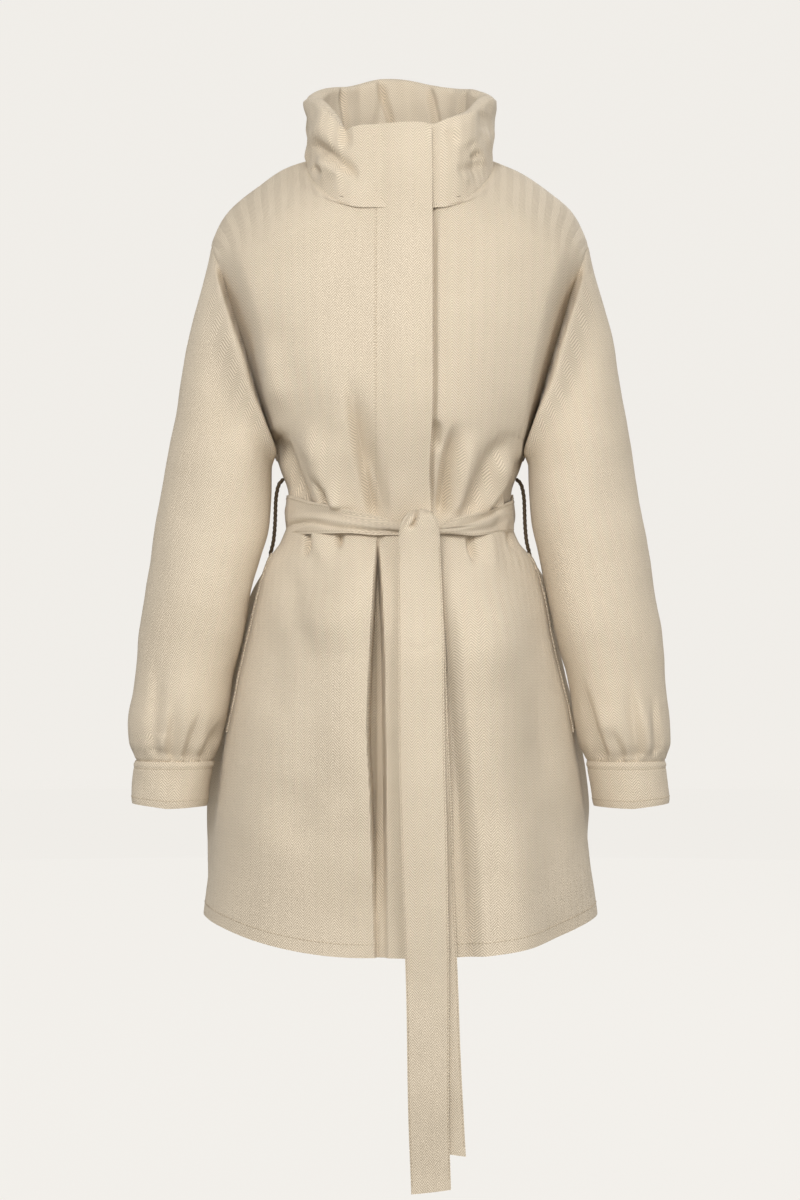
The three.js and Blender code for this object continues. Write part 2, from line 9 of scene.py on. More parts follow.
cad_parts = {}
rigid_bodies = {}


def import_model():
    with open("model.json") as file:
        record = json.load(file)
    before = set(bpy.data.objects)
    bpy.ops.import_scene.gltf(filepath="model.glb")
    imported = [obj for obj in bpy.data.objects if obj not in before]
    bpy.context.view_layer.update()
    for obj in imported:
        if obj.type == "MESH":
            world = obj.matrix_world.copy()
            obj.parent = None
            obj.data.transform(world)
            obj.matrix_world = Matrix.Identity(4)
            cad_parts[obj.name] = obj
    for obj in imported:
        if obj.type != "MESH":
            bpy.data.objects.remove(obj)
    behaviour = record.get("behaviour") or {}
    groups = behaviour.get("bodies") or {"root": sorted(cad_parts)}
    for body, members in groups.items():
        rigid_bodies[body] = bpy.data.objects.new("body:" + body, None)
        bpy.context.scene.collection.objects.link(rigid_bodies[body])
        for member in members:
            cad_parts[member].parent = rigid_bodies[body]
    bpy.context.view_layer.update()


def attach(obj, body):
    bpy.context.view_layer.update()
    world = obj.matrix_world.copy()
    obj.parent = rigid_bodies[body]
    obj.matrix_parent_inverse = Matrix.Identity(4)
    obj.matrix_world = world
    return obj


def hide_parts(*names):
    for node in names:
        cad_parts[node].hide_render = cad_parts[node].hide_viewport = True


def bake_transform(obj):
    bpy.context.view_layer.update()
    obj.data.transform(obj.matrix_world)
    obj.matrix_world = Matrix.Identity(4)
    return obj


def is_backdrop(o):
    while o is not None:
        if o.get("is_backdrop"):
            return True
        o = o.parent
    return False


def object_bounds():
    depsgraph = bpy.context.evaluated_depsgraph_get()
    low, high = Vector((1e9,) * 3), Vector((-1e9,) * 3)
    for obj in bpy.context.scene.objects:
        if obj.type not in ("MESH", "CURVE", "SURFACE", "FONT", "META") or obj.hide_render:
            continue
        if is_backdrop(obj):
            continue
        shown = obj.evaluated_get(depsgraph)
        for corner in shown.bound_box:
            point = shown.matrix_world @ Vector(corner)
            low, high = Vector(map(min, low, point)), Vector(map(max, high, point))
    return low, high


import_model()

# ---- Studio ----
# A seamless pale floor that rises into a round wall, lit by one broad soft light in front and above it, with
# weaker ones at the sides and behind. The camera stands level with the hips, 3.5 m in front of the coat.
# Lengths in this section are metres.
CAMERA_HEIGHT = -0.492
CAMERA_DISTANCE = 3.5
VIEW_HEIGHT = 1.38
SENSOR = 36.0

camera_data = bpy.data.cameras.new("camera")
camera_data.sensor_width = SENSOR
camera_data.lens = SENSOR * CAMERA_DISTANCE / VIEW_HEIGHT
camera = bpy.data.objects.new("camera", camera_data)
camera.location = (0, -CAMERA_DISTANCE, CAMERA_HEIGHT)
camera.rotation_euler = (math.pi / 2, 0, 0)
bpy.context.scene.collection.objects.link(camera)
bpy.context.scene.camera = camera
bpy.context.scene.view_settings.view_transform = "Standard"
bpy.context.scene.view_settings.look = "None"


def lamp(name, place, aim, size, power):
    """A square soft light of that size in metres and power in watts, turned towards aim."""
    data = bpy.data.lights.new(name, "AREA")
    data.size = size
    data.energy = power
    light = bpy.data.objects.new(name, data)
    light.location = place
    light.rotation_euler = (Vector(aim) - Vector(place)).to_track_quat("-Z", "Y").to_euler()
    light.visible_camera = False
    bpy.context.scene.collection.objects.link(light)


lamp("key_light", (-0.4, -3.1, 1.1), (0, 0, -0.5), 1.3, 71)
lamp("fill_light", (2.2, -2.6, 0.1), (0, 0, -0.55), 1.6, 35)
lamp("side_light", (-2.4, -2.3, 0.0), (0, 0, -0.55), 1.6, 17)
lamp("back_light", (1.6, 3.0, 1.0), (0, 0, -0.4), 1.8, 34)

world = bpy.data.worlds.new("studio")
bpy.context.scene.world = world
world.use_nodes = True
world.node_tree.nodes["Background"].inputs["Color"].default_value = (1.0, 0.985, 0.965, 1)
world.node_tree.nodes["Background"].inputs["Strength"].default_value = 0.38

FLOOR_HEIGHT = -1.2
FLOOR_RADIUS, WALL_CURVE, WALL_TOP = 8.0, 3.0, 9.0
WALL_SIDES, WALL_STEPS = 64, 13
sweep_profile = [
    (FLOOR_RADIUS + WALL_CURVE * math.sin(angle), FLOOR_HEIGHT + WALL_CURVE * (1 - math.cos(angle)))
    for angle in np.linspace(0, math.pi / 2, WALL_STEPS)
]
sweep_profile.append((FLOOR_RADIUS + WALL_CURVE, WALL_TOP))
around = [2 * math.pi * i / WALL_SIDES for i in range(WALL_SIDES)]
sweep_faces = [[1 + i, 1 + (i + 1) % WALL_SIDES, 0] for i in range(WALL_SIDES)]
for row in range(len(sweep_profile) - 1):
    start = 1 + row * WALL_SIDES
    for i in range(WALL_SIDES):
        k = (i + 1) % WALL_SIDES
        sweep_faces.append([start + i, start + k, start + WALL_SIDES + k, start + WALL_SIDES + i])
sweep_rings = [(r * math.cos(t), r * math.sin(t), z) for r, z in sweep_profile for t in around]
sweep_mesh = bpy.data.meshes.new("sweep")
sweep_mesh.from_pydata([(0, 0, FLOOR_HEIGHT)] + sweep_rings, [], sweep_faces)
sweep = bpy.data.objects.new("sweep", sweep_mesh)
bpy.context.scene.collection.objects.link(sweep)
sweep_mesh.shade_smooth()
paper = bpy.data.materials.new("pale_paper")
paper.use_nodes = True
shader = paper.node_tree.nodes["Principled BSDF"]
shader.inputs["Base Color"].default_value = (0.012, 0.0118, 0.0115, 1)
shader.inputs["Roughness"].default_value = 0.95
shader.inputs["Specular IOR Level"].default_value = 0.1
shader.inputs["Emission Color"].default_value = (0.865, 0.842, 0.803, 1)
seen = paper.node_tree.nodes.new("ShaderNodeLightPath")
glow = paper.node_tree.nodes.new("ShaderNodeMapRange")
glow.inputs["To Min"].default_value = 0.42
glow.inputs["To Max"].default_value = 1.004
paper.node_tree.links.new(seen.outputs["Is Camera Ray"], glow.inputs["Value"])
paper.node_tree.links.new(glow.outputs["Result"], shader.inputs["Emission Strength"])
sweep_mesh.materials.append(paper)
sweep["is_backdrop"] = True

# ---- Fronts and backs ----
# Four panels of heavy herringbone twill, cut on the straight grain and sewn at the shoulders, the sides and
# the middle of the back. All lengths from here on are millimetres in the coat's frame until a mesh is made.
FLAT = 40
NECK_FRONT, RIM_FRONT = -53, 40
NECK_HALF_WIDTH, NECK_BACK = 105, 88
WAIST, UNDERARM = -395, -312
HEM_FRONT, HEM_SIDE, HEM_BACK = -884, -851, -874
STRAIGHT_END, LEAN = -266, 0.145
WAIST_ROW, UNDERARM_ROW, NECK_ROW = 0.5, 0.6, 0.8
LEVEL_NECK = 0.14
BACK_FULLNESS = 17
CLOTH = 1.6


def through(pairs):
    """A smooth function through (place, value) pairs that never overshoots them."""
    pairs = sorted(pairs)
    x = np.array([p[0] for p in pairs], float)
    y = np.array([p[1] for p in pairs], float)
    step = np.diff(y) / np.diff(x)
    slope = np.zeros(len(x))
    slope[0], slope[-1] = step[0], step[-1]
    both = step[:-1] * step[1:]
    total = step[:-1] + step[1:]
    slope[1:-1] = np.where(both > 0, 2 * both / np.where(total == 0, 1, total), 0)

    def at(value):
        value = np.clip(np.asarray(value, float), x[0], x[-1])
        i = np.clip(np.searchsorted(x, value, side="right") - 1, 0, len(x) - 2)
        h = x[i + 1] - x[i]
        t = (value - x[i]) / h
        a = 2 * t ** 3 - 3 * t ** 2 + 1
        b = t ** 3 - 2 * t ** 2 + t
        c = t ** 3 - t ** 2
        return a * y[i] + b * h * slope[i] + (1 - a) * y[i + 1] + c * h * slope[i + 1]

    return at


def smooth(value, start, end):
    t = np.clip((value - start) / (end - start), 0, 1)
    return t * t * (3 - 2 * t)


def mix(a, b, t):
    return a + (b - a) * t


def points(x, y, z):
    return np.stack(np.broadcast_arrays(np.asarray(x, float), y, z), -1)


half_width = through([
    (-900, 230), (-853, 226), (-780, 217), (-720, 211), (-640, 200), (-584, 188), (-532, 175),
    (-480, 163), (-446, 151), (-425, 136), (WAIST, 127), (-370, 128), (-343, 137), (UNDERARM, 148),
])
back_depth = through([
    (-900, 166), (-700, 158), (-600, 150), (-530, 138), (-446, 113), (WAIST, 97), (-343, 105),
    (-228, 124), (-130, 119), (-50, 104), (22, NECK_BACK),
])
lower_front = through([
    (-900, 168), (-700, 160), (-584, 150), (-500, 137), (-446, 121), (WAIST, 102), (-343, 122),
    (-300, 138), (STRAIGHT_END, 100 + LEAN * (RIM_FRONT - STRAIGHT_END)),
])
outer_height = through([(0, HEM_SIDE), (WAIST_ROW, WAIST), (UNDERARM_ROW, UNDERARM)])
front_height = through([(0, HEM_FRONT), (WAIST_ROW, WAIST), (UNDERARM_ROW, -302), (NECK_ROW, NECK_FRONT)])
back_height = through([(0, HEM_BACK), (WAIST_ROW, WAIST), (UNDERARM_ROW, -302), (NECK_ROW, 22)])


# The heavy cloth rolls over from the straight chest into the waist, with no edge between them.
depth_places = np.arange(-960.0, 140.0, 2.0)
depth_values = np.where(depth_places >= STRAIGHT_END, 100 + LEAN * (RIM_FRONT - depth_places),
                        lower_front(depth_places))
ROLL_REACH = 30
roll = np.exp(-(np.arange(-ROLL_REACH, ROLL_REACH + 1) / 7.5) ** 2 / 2)
depth_values = np.pad(depth_values, ROLL_REACH, mode="reflect", reflect_type="odd")
depth_values = np.convolve(depth_values, roll / roll.sum(), "valid")


def front_depth(z):
    return np.interp(z, depth_places, depth_values)


def neck_seam(side, angle):
    """The seam between coat and collar; the angle runs from the front round to the back."""
    z = -3.75 - 37.5 * np.cos(angle) - 11.75 * np.cos(2 * angle)
    x = np.where(angle > np.pi / 2, NECK_HALF_WIDTH * np.sin(angle),
                 FLAT + (NECK_HALF_WIDTH - FLAT) * np.sin(angle))
    y = -np.where(angle > np.pi / 2, NECK_BACK, front_depth(NECK_FRONT)) * np.cos(angle)
    return points(side * x, y, z)


ARMHOLE = {
    "outer": (214, 0, -88),
    "inner": (148, 0, UNDERARM),
    "front": (180, -54, -195),
    "back": (182, 56, -195),
}


def ring(stations, angle):
    """A point on the loop through four stations: 0 is outside, a quarter front, a half inside."""
    outer, inner, front, back = (np.asarray(stations[k], float) for k in ("outer", "inner", "front", "back"))
    centre = (outer + inner) / 2
    cos, sin = np.cos(angle)[..., None], np.sin(angle)[..., None]
    face = np.where(sin >= 0, front, back) - centre
    return centre + (outer - centre) * cos + face * np.abs(sin)


def panel(side, back, v, columns, edge=0.0):
    """The outer face of a body panel: rows v from hem to shoulder, columns from the middle to the side."""
    v = np.asarray(v, float)
    turn = np.clip((v - NECK_ROW) / (1 - NECK_ROW), 0, 1)
    z = (back_height if back else front_height)(np.minimum(v, NECK_ROW))
    inner = points(0, back_depth(z) if back else -front_depth(z), z)
    inner[:, 0] = side * edge
    quarter = -turn if back else np.clip((turn - LEVEL_NECK) / (1 - LEVEL_NECK), 0, 1)
    collar = neck_seam(side, (np.pi if back else 0) + quarter * np.pi / 2)
    if not back:
        level = turn < LEVEL_NECK
        collar[level, 0] = side * mix(edge, FLAT, turn[level] / LEVEL_NECK)
    inner = np.where((v > NECK_ROW)[:, None], collar, inner)
    low = outer_height(np.minimum(v, UNDERARM_ROW))
    outer = points(half_width(low), 0, low)
    angle = np.where(v < NECK_ROW, mix(np.pi, np.pi / 3, (v - UNDERARM_ROW) / (NECK_ROW - UNDERARM_ROW)),
                     mix(np.pi / 3, 0, (v - NECK_ROW) / (1 - NECK_ROW)))
    loop = ring(ARMHOLE, -angle if back else angle)
    outer = np.where((v > UNDERARM_ROW)[:, None], loop, outer)
    flat = 0 if back else FLAT
    start = np.maximum(np.abs(inner[:, 0]), flat)[:, None]
    first = start - np.abs(inner[:, :1])
    width = np.abs(outer[:, :1]) - start
    rest = np.pi / 2 * np.hypot(width, outer[:, 1:2] - inner[:, 1:2]) / np.sqrt(2)
    run = np.asarray(columns, float)[None, :] * (first + rest)
    turned = np.clip((run - first) / rest, 0, 1) * np.pi / 2
    x = np.where(run < first, np.abs(inner[:, :1]) + run, start + width * np.sin(turned))
    y = mix(outer[:, 1:2], inner[:, 1:2], np.cos(turned))
    z = mix(inner[:, 2:3], outer[:, 2:3], np.sin(turned) ** 2)
    if back:
        full = smooth(-z, 425, 490) * (1 - smooth(-z, 700, 860))
        x = x + BACK_FULLNESS * full * smooth(turned, 0.7, 1.15) * (1 - smooth(turned, 1.25, 1.57))
    return points(side * x, y, z), run


def normals(grid, towards):
    """Unit normals of a grid of points, on the side that towards points to from the grid's middle."""
    along = np.gradient(grid, axis=1)
    up = np.gradient(grid, axis=0)
    n = np.cross(along, up)
    n /= np.maximum(np.linalg.norm(n, axis=-1, keepdims=True), 1e-9)
    return n if (n * np.asarray(towards, float)).sum() > 0 else -n


def fold(x, z, line, width, depth, ends=(0.25, 0.25)):
    """The height of a soft fold along a line of (x, z) points seen from the front: below 0 is a crease."""
    line = np.array(line, float)
    lengths = np.hypot(*np.diff(line, axis=0).T)
    before = np.concatenate([[0], np.cumsum(lengths)])
    width = width if isinstance(width, tuple) else (width, width)
    near = np.full(np.shape(x), 1e9)
    share = np.zeros(np.shape(x))
    side = np.zeros(np.shape(x))
    for (a, b, length, start) in zip(line[:-1], line[1:], lengths, before):
        t = np.clip(((x - a[0]) * (b[0] - a[0]) + (z - a[1]) * (b[1] - a[1])) / length ** 2, 0, 1)
        dx, dz = x - mix(a[0], b[0], t), z - mix(a[1], b[1], t)
        distance = np.hypot(dx, dz)
        closer = distance < near
        near = np.where(closer, distance, near)
        share = np.where(closer, (start + t * length) / before[-1], share)
        side = np.where(closer, dx * (b[1] - a[1]) - dz * (b[0] - a[0]), side)
    taper = np.ones(np.shape(x))
    if ends[0]:
        taper = taper * smooth(share, 0, ends[0])
    if ends[1]:
        taper = taper * (1 - smooth(share, 1 - ends[1], 1))
    reach = np.where(side > 0, width[0], width[1])
    return depth * taper * np.exp(-(near / reach) ** 2)


# Folds of the fronts as (line, width, depth, ends): first the wearer's right front, then the left.
CHEST_STRENGTH = 1.9
CHEST_FOLDS = [
    ([(-61, -230), (-46, -320), (-27, -400)], (6, 15), -10, (0.5, 0)),
    ([(-40, -330), (-20, -398)], (9, 5), 4, (0.5, 0)),
    ([(-105, -215), (-104, -310)], 34, -2, (0.4, 0.4)),
    ([(-112, -290), (-92, -330), (-74, -385)], 13, 7, (0.4, 0)),
    ([(-96, -350), (-84, -372), (-77, -396)], (3.5, 6), -7, (0.5, 0)),
    ([(-150, -190), (-133, -290)], 12, 4, (0.4, 0.4)),
    ([(41, -290), (38, -330)], 7, -5, (0.4, 0.4)),
    ([(64, -290), (52, -345), (44, -398)], (6, 10), -9, (0.4, 0)),
    ([(84, -300), (64, -390)], 10, 4, (0.4, 0)),
    ([(126, -300), (98, -350), (76, -396)], (11, 8), -7, (0.4, 0)),
    ([(124, -350), (106, -392)], (3.5, 6), -6, (0.5, 0)),
    ([(116, -320), (112, -385)], 9, 5, (0.4, 0)),
    ([(-146, -296), (-128, -345), (-108, -392)], (5, 10), -8, (0.3, 0)),
    ([(-72, -300), (-66, -385)], 10, 3, (0.4, 0)),
    ([(140, -325), (122, -388)], (5, 7), -6, (0.3, 0)),
]
SKIRT_FOLDS = [
    ([(-104, -414), (-104, -432), (-106, -446)], (3, 4.5), -11, (0, 0.6)),
    ([(-96, -420), (-92, -450)], 6, 4, (0, 0.6)),
    ([(-68, -414), (-68, -440)], (3, 4.5), -10, (0, 0.6)),
    ([(-86, -418), (-84, -462)], 8, 5, (0, 0.6)),
    ([(-84, -470), (-76, -560)], 40, 11, (0.5, 0.5)),
    ([(-126, -450), (-112, -520), (-96, -560)], 13, -5, (0.3, 0.4)),
    ([(-146, -500), (-140, -640)], 22, -5, (0.4, 0.4)),
    ([(-116, -680), (-120, -780)], 26, -5, (0.4, 0.4)),
    ([(-60, -660), (-52, -800)], 24, -4, (0.4, 0.4)),
    ([(78, -414), (80, -432), (84, -458)], (4, 5), -11, (0, 0.6)),
    ([(124, -412), (127, -426), (134, -440)], (3.5, 4.5), -9, (0, 0.6)),
    ([(136, -412), (150, -452)], (4, 5), -6, (0, 0.7)),
    ([(100, -418), (104, -470)], 10, 5, (0, 0.6)),
    ([(88, -480), (112, -600)], 42, 10, (0.4, 0.5)),
    ([(150, -560), (160, -720)], 24, -5, (0.4, 0.4)),
    ([(120, -720), (128, -880)], 26, 5, (0.4, 0)),
]
FLY_LEFT, FLY_RIGHT = -28, 36
PLEAT_EDGE = through([
    (-884, -28), (-800, -30), (-702, -33), (-640, -36), (-554, -33.5), (-485, -29.5), (-425, -26),
])
PLEAT_MOUTH = through([(-884, -14), (-700, -16), (-554, -18), (-485, -21), (-425, -24)])
PLEAT_DEPTH = 34
VALLEY_EDGE = through([(-884, 88), (-800, 84), (-713, 78), (-581, 66), (-437, 54)])


def pleat_share(z):
    """How far the pleat beside the fly is open: it starts under the belt and fades towards the hem."""
    return smooth(-z, 412, 475) * (1 - 0.8 * smooth(-z, 700, 860))


def front_folds(x, z):
    """How far the cloth of the fronts stands off its plain shape."""
    rise = CHEST_STRENGTH * sum(fold(x, z, *f) for f in CHEST_FOLDS) * (1 - smooth(-z, 385, 405))
    rise = rise + sum(fold(x, z, *f) for f in SKIRT_FOLDS) * smooth(-z, 405, 425)
    # the pleat beside the fly: the right front swells out to a sharp edge and turns back under it
    pleat = pleat_share(z)
    edge, mouth = PLEAT_EDGE(z), PLEAT_MOUTH(z)
    rise = rise + pleat * 17 * smooth(x, edge - 75, edge - 4) * (1 - smooth(x, edge - 0.5, edge + 3))
    inside = smooth(x, edge - 0.5, edge + 3) * (1 - smooth(x, mouth + 2, mouth + 8))
    rise = rise - pleat * PLEAT_DEPTH * inside
    # the fly's free edge has pressed a groove into the cloth beside it
    groove = FLY_RIGHT + 1.8 - 3.5 * np.exp(-((z + 350) / 45) ** 2)
    rise = rise - 4.5 * np.exp(-((x - groove) / 3.0) ** 2) * smooth(z, -700, -650)
    # the left front swells out past the hanging belt ends
    swell = smooth(-z, 415, 560)
    near = VALLEY_EDGE(z)
    rise = rise + swell * 21 * smooth(x, near - 16, near + 3) * (1 - smooth(x, near + 20, near + 100))
    return rise


def back_folds(x, z):
    """Flutes of the back: gathers under and over the belt that spread into soft waves."""
    skirt = smooth(-z, 425, 620)
    wave = 6 * np.sin(x / 21 + 0.8) * smooth(-z, 415, 450) * (1 - smooth(-z, 450, 560))
    wave = wave + 9 * skirt * np.sin(x / 38 + 0.5 * np.sin(z / 140))
    chest = smooth(z, -395, -340) * (1 - smooth(z, -250, -170))
    wave = wave + 5 * chest * np.sin(x / 24 - 0.6)
    return wave + 12 * smooth(z, -390, -350) * (1 - smooth(z, -320, -230)) * np.exp(-(x / 90) ** 2)


SEAM_STEPS = 720


def seam_tree(line):
    """A quick way to find the nearest point of a seam."""
    tree = KDTree(len(line))
    for i, point in enumerate(line):
        tree.insert(point, i)
    tree.balance()
    return tree


def seam_distance(tree, grid, side):
    """For each point of a grid on that side, the number of the nearest seam point and the distance to it."""
    flat = (grid * np.array([side, 1, 1])).reshape(-1, 3)
    found = np.array([tree.find(q)[1:] for q in flat])
    return found[:, 0].reshape(grid.shape[:-1]), found[:, 1].reshape(grid.shape[:-1])


armhole_tree = seam_tree(ring(ARMHOLE, np.linspace(0, 2 * np.pi, SEAM_STEPS, endpoint=False)))
neck_line = np.concatenate([
    points(np.linspace(0, FLAT, 40), -front_depth(NECK_FRONT), NECK_FRONT),
    neck_seam(1, np.linspace(0, np.pi, 400)),
])
neck_tree = seam_tree(neck_line)


def shoulder_and_armhole(grid, side, sleeve=False):
    """Fills the shoulder's point, sinks the cloth at the armhole seam and lets the sleeve stand over it."""
    p = grid * np.array([side, 1, 1])
    reach = np.linalg.norm(p - np.array([198, 0, -56]), axis=-1)
    swell = 9 * np.exp(-(reach / 42) ** 2)
    moved = p + swell[..., None] * np.array([0.62, 0, 0.78])
    number, distance = seam_distance(armhole_tree, grid, side)
    angle = number * 360 / SEAM_STEPS
    front = smooth(angle, 30, 78) * (1 - smooth(angle, 165, 184))
    rear = smooth(angle, 178, 205) * (1 - smooth(angle, 265, 330))
    moved[..., 1] += front * 46 * (1 - (smooth(distance, 0, 11) if sleeve else smooth(distance, 3, 46)))
    moved[..., 1] -= rear * 18 * np.exp(-(distance / (8 if sleeve else 27)) ** 2)
    seam = p - np.array([181, 0, -200])
    seam /= np.linalg.norm(seam, axis=-1, keepdims=True)
    moved -= 1.6 * np.exp(-(distance / 2.6) ** 2)[..., None] * seam
    if sleeve:
        ridge = np.exp(-((distance - 17) / 10) ** 2)
        moved[..., 1] += ridge * (5 * rear - 13 * front)
        moved[..., 0] -= ridge * (8 * front + 3 * rear)
    return moved * np.array([side, 1, 1])


def wrinkle(grid, size, height, seed):
    """Uneven ground of that size and height, as cloth has that has been worn and pressed."""
    flat = grid.reshape(-1, 3)
    move = Vector((seed * 17.3, seed * 5.1, seed * 9.7))
    values = [noise.noise(Vector(p) / size + move) for p in flat]
    return height * np.array(values).reshape(grid.shape[:-1])


def mesh_from_grid(name, layers, uv, ring_columns=False, kept=None):
    """A closed mesh between two grids of millimetre points, outer first, with its cloth lengths as UVs.
    kept says which cells of the grid are cloth; the rest are openings with edges of their own."""
    rows, columns = layers[0].shape[:2]
    if kept is None:
        kept = np.ones((rows - 1, columns if ring_columns else columns - 1), bool)
    i, j = np.nonzero(kept)
    k = (j + 1) % columns
    a, b, c, d = i * columns + j, i * columns + k, (i + 1) * columns + k, (i + 1) * columns + j
    under = rows * columns
    faces = [np.stack([a, b, c, d], 1), np.stack([d, c, b, a], 1) + under]
    for (down, right), (p, q) in (((-1, 0), (a, b)), ((0, 1), (b, c)), ((1, 0), (c, d)), ((0, -1), (d, a))):
        m, n = i + down, j + right
        n = n % kept.shape[1] if ring_columns else n
        inside = (m >= 0) & (m < kept.shape[0]) & (n >= 0) & (n < kept.shape[1])
        edge = ~inside | ~kept[np.clip(m, 0, kept.shape[0] - 1), np.clip(n, 0, kept.shape[1] - 1)]
        p, q = p[edge], q[edge]
        faces.append(np.stack([q, p, p + under, q + under], 1))
    faces = np.concatenate(faces)
    used, compact = np.unique(faces, return_inverse=True)
    verts = np.concatenate([g.reshape(-1, 3) for g in layers])[used] * 0.001
    mesh = bpy.data.meshes.new(name)
    mesh.from_pydata(verts.tolist(), [], compact.reshape(-1, 4).tolist())
    corner = faces.ravel() % under
    coords = uv.reshape(-1, 2)[corner]
    if ring_columns:
        column = (faces % columns)
        wraps = (column == 0).any(1) & (column == columns - 1).any(1)
        first = np.repeat(wraps, 4) & (corner % columns == 0)
        row = corner[first] // columns
        coords[first] = 2 * uv[row, -1] - uv[row, -2]
    layer = mesh.uv_layers.new(name="cloth")
    layer.data.foreach_set("uv", (coords * 0.001).astype(np.float32).ravel())
    mesh.shade_smooth()
    mesh.set_sharp_from_angle(angle=math.radians(60))
    piece = bpy.data.objects.new(name, mesh)
    bpy.context.scene.collection.objects.link(piece)
    mesh_faces_out(mesh)
    return piece


def cut_to(piece, uv, held, *rests_on):
    """Works out the size and area that a sheet of cloth was cut to, and keeps neither."""
    width, length = np.ptp(uv[..., 0]) * 0.001, np.ptp(uv[..., 1]) * 0.001
    one, two = uv[1:, 1:] - uv[:-1, :-1], uv[1:, :-1] - uv[:-1, 1:]
    area = np.abs(one[..., 0] * two[..., 1] - one[..., 1] * two[..., 0]).sum() * 0.5e-6
    area = min(max(area, 0.31 * width * length), width * length)


def mesh_faces_out(mesh):
    """Turns a closed mesh the right way round if its volume comes out negative."""
    co = np.zeros(len(mesh.vertices) * 3)
    mesh.vertices.foreach_get("co", co)
    co = co.reshape(-1, 3)
    mesh.calc_loop_triangles()
    tri = np.zeros(len(mesh.loop_triangles) * 3, np.int32)
    mesh.loop_triangles.foreach_get("vertices", tri)
    a, b, c = co[tri.reshape(-1, 3)].transpose(1, 0, 2)
    if (a * np.cross(b, c)).sum() < 0:
        mesh.flip_normals()


def stitches(name, path, out, length=3.4, gap=1.3, thick=0.55):
    """A run of sewn stitches along a path of millimetre points on cloth whose outward normals are out."""
    path, out = np.asarray(path, float), np.asarray(out, float)
    steps = np.linalg.norm(np.diff(path, axis=0), axis=1)
    place = np.concatenate([[0], np.cumsum(steps)])
    starts = np.arange(gap, place[-1] - length, length + gap)
    verts, faces = [], []
    for start in starts:
        base = len(verts)
        sections = [(0.0, 0.3, -0.25), (0.18, 1.0, 0.1), (0.82, 1.0, 0.1), (1.0, 0.3, -0.25)]
        for share, wide, lift in sections:
            at = start + share * length
            p = np.array([np.interp(at, place, path[:, k]) for k in range(3)])
            q = np.array([np.interp(at + 0.5, place, path[:, k]) for k in range(3)])
            n = np.array([np.interp(at, place, out[:, k]) for k in range(3)])
            n /= np.linalg.norm(n)
            forward = (q - p) / max(np.linalg.norm(q - p), 1e-9)
            across = np.cross(forward, n)
            for k in range(6):
                a = 2 * math.pi * k / 6
                verts.append(p + thick * wide * (across * math.cos(a) + n * (math.sin(a) * 0.8)) + n * lift)
        for row in (base, base + 6, base + 12):
            for k in range(6):
                m = (k + 1) % 6
                faces.append([row + k, row + m, row + 6 + m, row + 6 + k])
        faces.append([base + k for k in range(5, -1, -1)])
        faces.append([base + 18 + k for k in range(6)])
    mesh = bpy.data.meshes.new(name)
    mesh.from_pydata((np.array(verts) * 0.001).tolist(), [], faces)
    mesh.shade_smooth()
    mesh_faces_out(mesh)
    piece = bpy.data.objects.new(name, mesh)
    bpy.context.scene.collection.objects.link(piece)
    piece.data.materials.append(thread)
    return piece


def link(tree, kind, settings=None, **inputs):
    """A shader node with settings, its inputs set to values or joined to other nodes' outputs."""
    made = tree.nodes.new(kind)
    for key, value in (settings or {}).items():
        setattr(made, key, value)
    for key, value in inputs.items():
        numbered = key[0] == "_" and key[1:].isdigit()
        socket = made.inputs[int(key[1:]) if numbered else key.replace("_", " ")]
        if isinstance(value, bpy.types.NodeSocket):
            tree.links.new(value, socket)
        else:
            socket.default_value = value
    return made


def maths(tree, operation, a, b=0.0, c=0.0):
    return link(tree, "ShaderNodeMath", {"operation": operation}, _0=a, _1=b, _2=c).outputs[0]


def herringbone():
    """Node group: twill ribs that turn at each column. It takes metres and gives a rib height and a tint."""
    group = bpy.data.node_groups.new("herringbone", "ShaderNodeTree")
    face = group.interface
    for name, value in (("Column", 0.0072), ("Rib", 0.0031), ("Slope", 1.15)):
        face.new_socket(name, in_out="INPUT", socket_type="NodeSocketFloat").default_value = value
    for name in ("Height", "Tint"):
        face.new_socket(name, in_out="OUTPUT", socket_type="NodeSocketFloat")
    source = group.nodes.new("NodeGroupInput").outputs
    place = link(group, "ShaderNodeUVMap", {"uv_map": "cloth"})
    split = link(group, "ShaderNodeSeparateXYZ", Vector=place.outputs[0])
    across, up = split.outputs[0], split.outputs[1]
    zigzag = maths(group, "PINGPONG", across, source["Column"])
    climb = maths(group, "MULTIPLY", zigzag, source["Slope"])
    wobble = link(group, "ShaderNodeTexNoise", Vector=place.outputs[0], Scale=260.0, Detail=1.0)
    shake = maths(group, "MULTIPLY", maths(group, "SUBTRACT", wobble.outputs[0], 0.5), 0.0012)
    phase = maths(group, "DIVIDE", maths(group, "ADD", maths(group, "ADD", up, climb), shake), source["Rib"])
    wave = maths(group, "SINE", maths(group, "MULTIPLY", phase, 2 * math.pi))
    rib = maths(group, "MULTIPLY_ADD", wave, 0.5, 0.5)
    turn = maths(group, "DIVIDE", zigzag, source["Column"])
    ends = maths(group, "MULTIPLY", maths(group, "SUBTRACT", turn, 0.5), 2.0)
    furrow = maths(group, "POWER", maths(group, "ABSOLUTE", ends), 8.0)
    yarn = link(group, "ShaderNodeTexNoise", Vector=place.outputs[0], Scale=900.0, Detail=2.0)
    height = maths(group, "SUBTRACT", rib, maths(group, "MULTIPLY", furrow, 0.45))
    height = maths(group, "ADD", height, maths(group, "MULTIPLY", yarn.outputs[0], 0.5))
    target = group.nodes.new("NodeGroupOutput")
    group.links.new(height, target.inputs["Height"])
    fuzz = maths(group, "MULTIPLY", yarn.outputs[0], 0.35)
    tint = maths(group, "ADD", maths(group, "MULTIPLY", rib, 0.75), fuzz)
    group.links.new(tint, target.inputs["Tint"])
    return group


weave = herringbone()


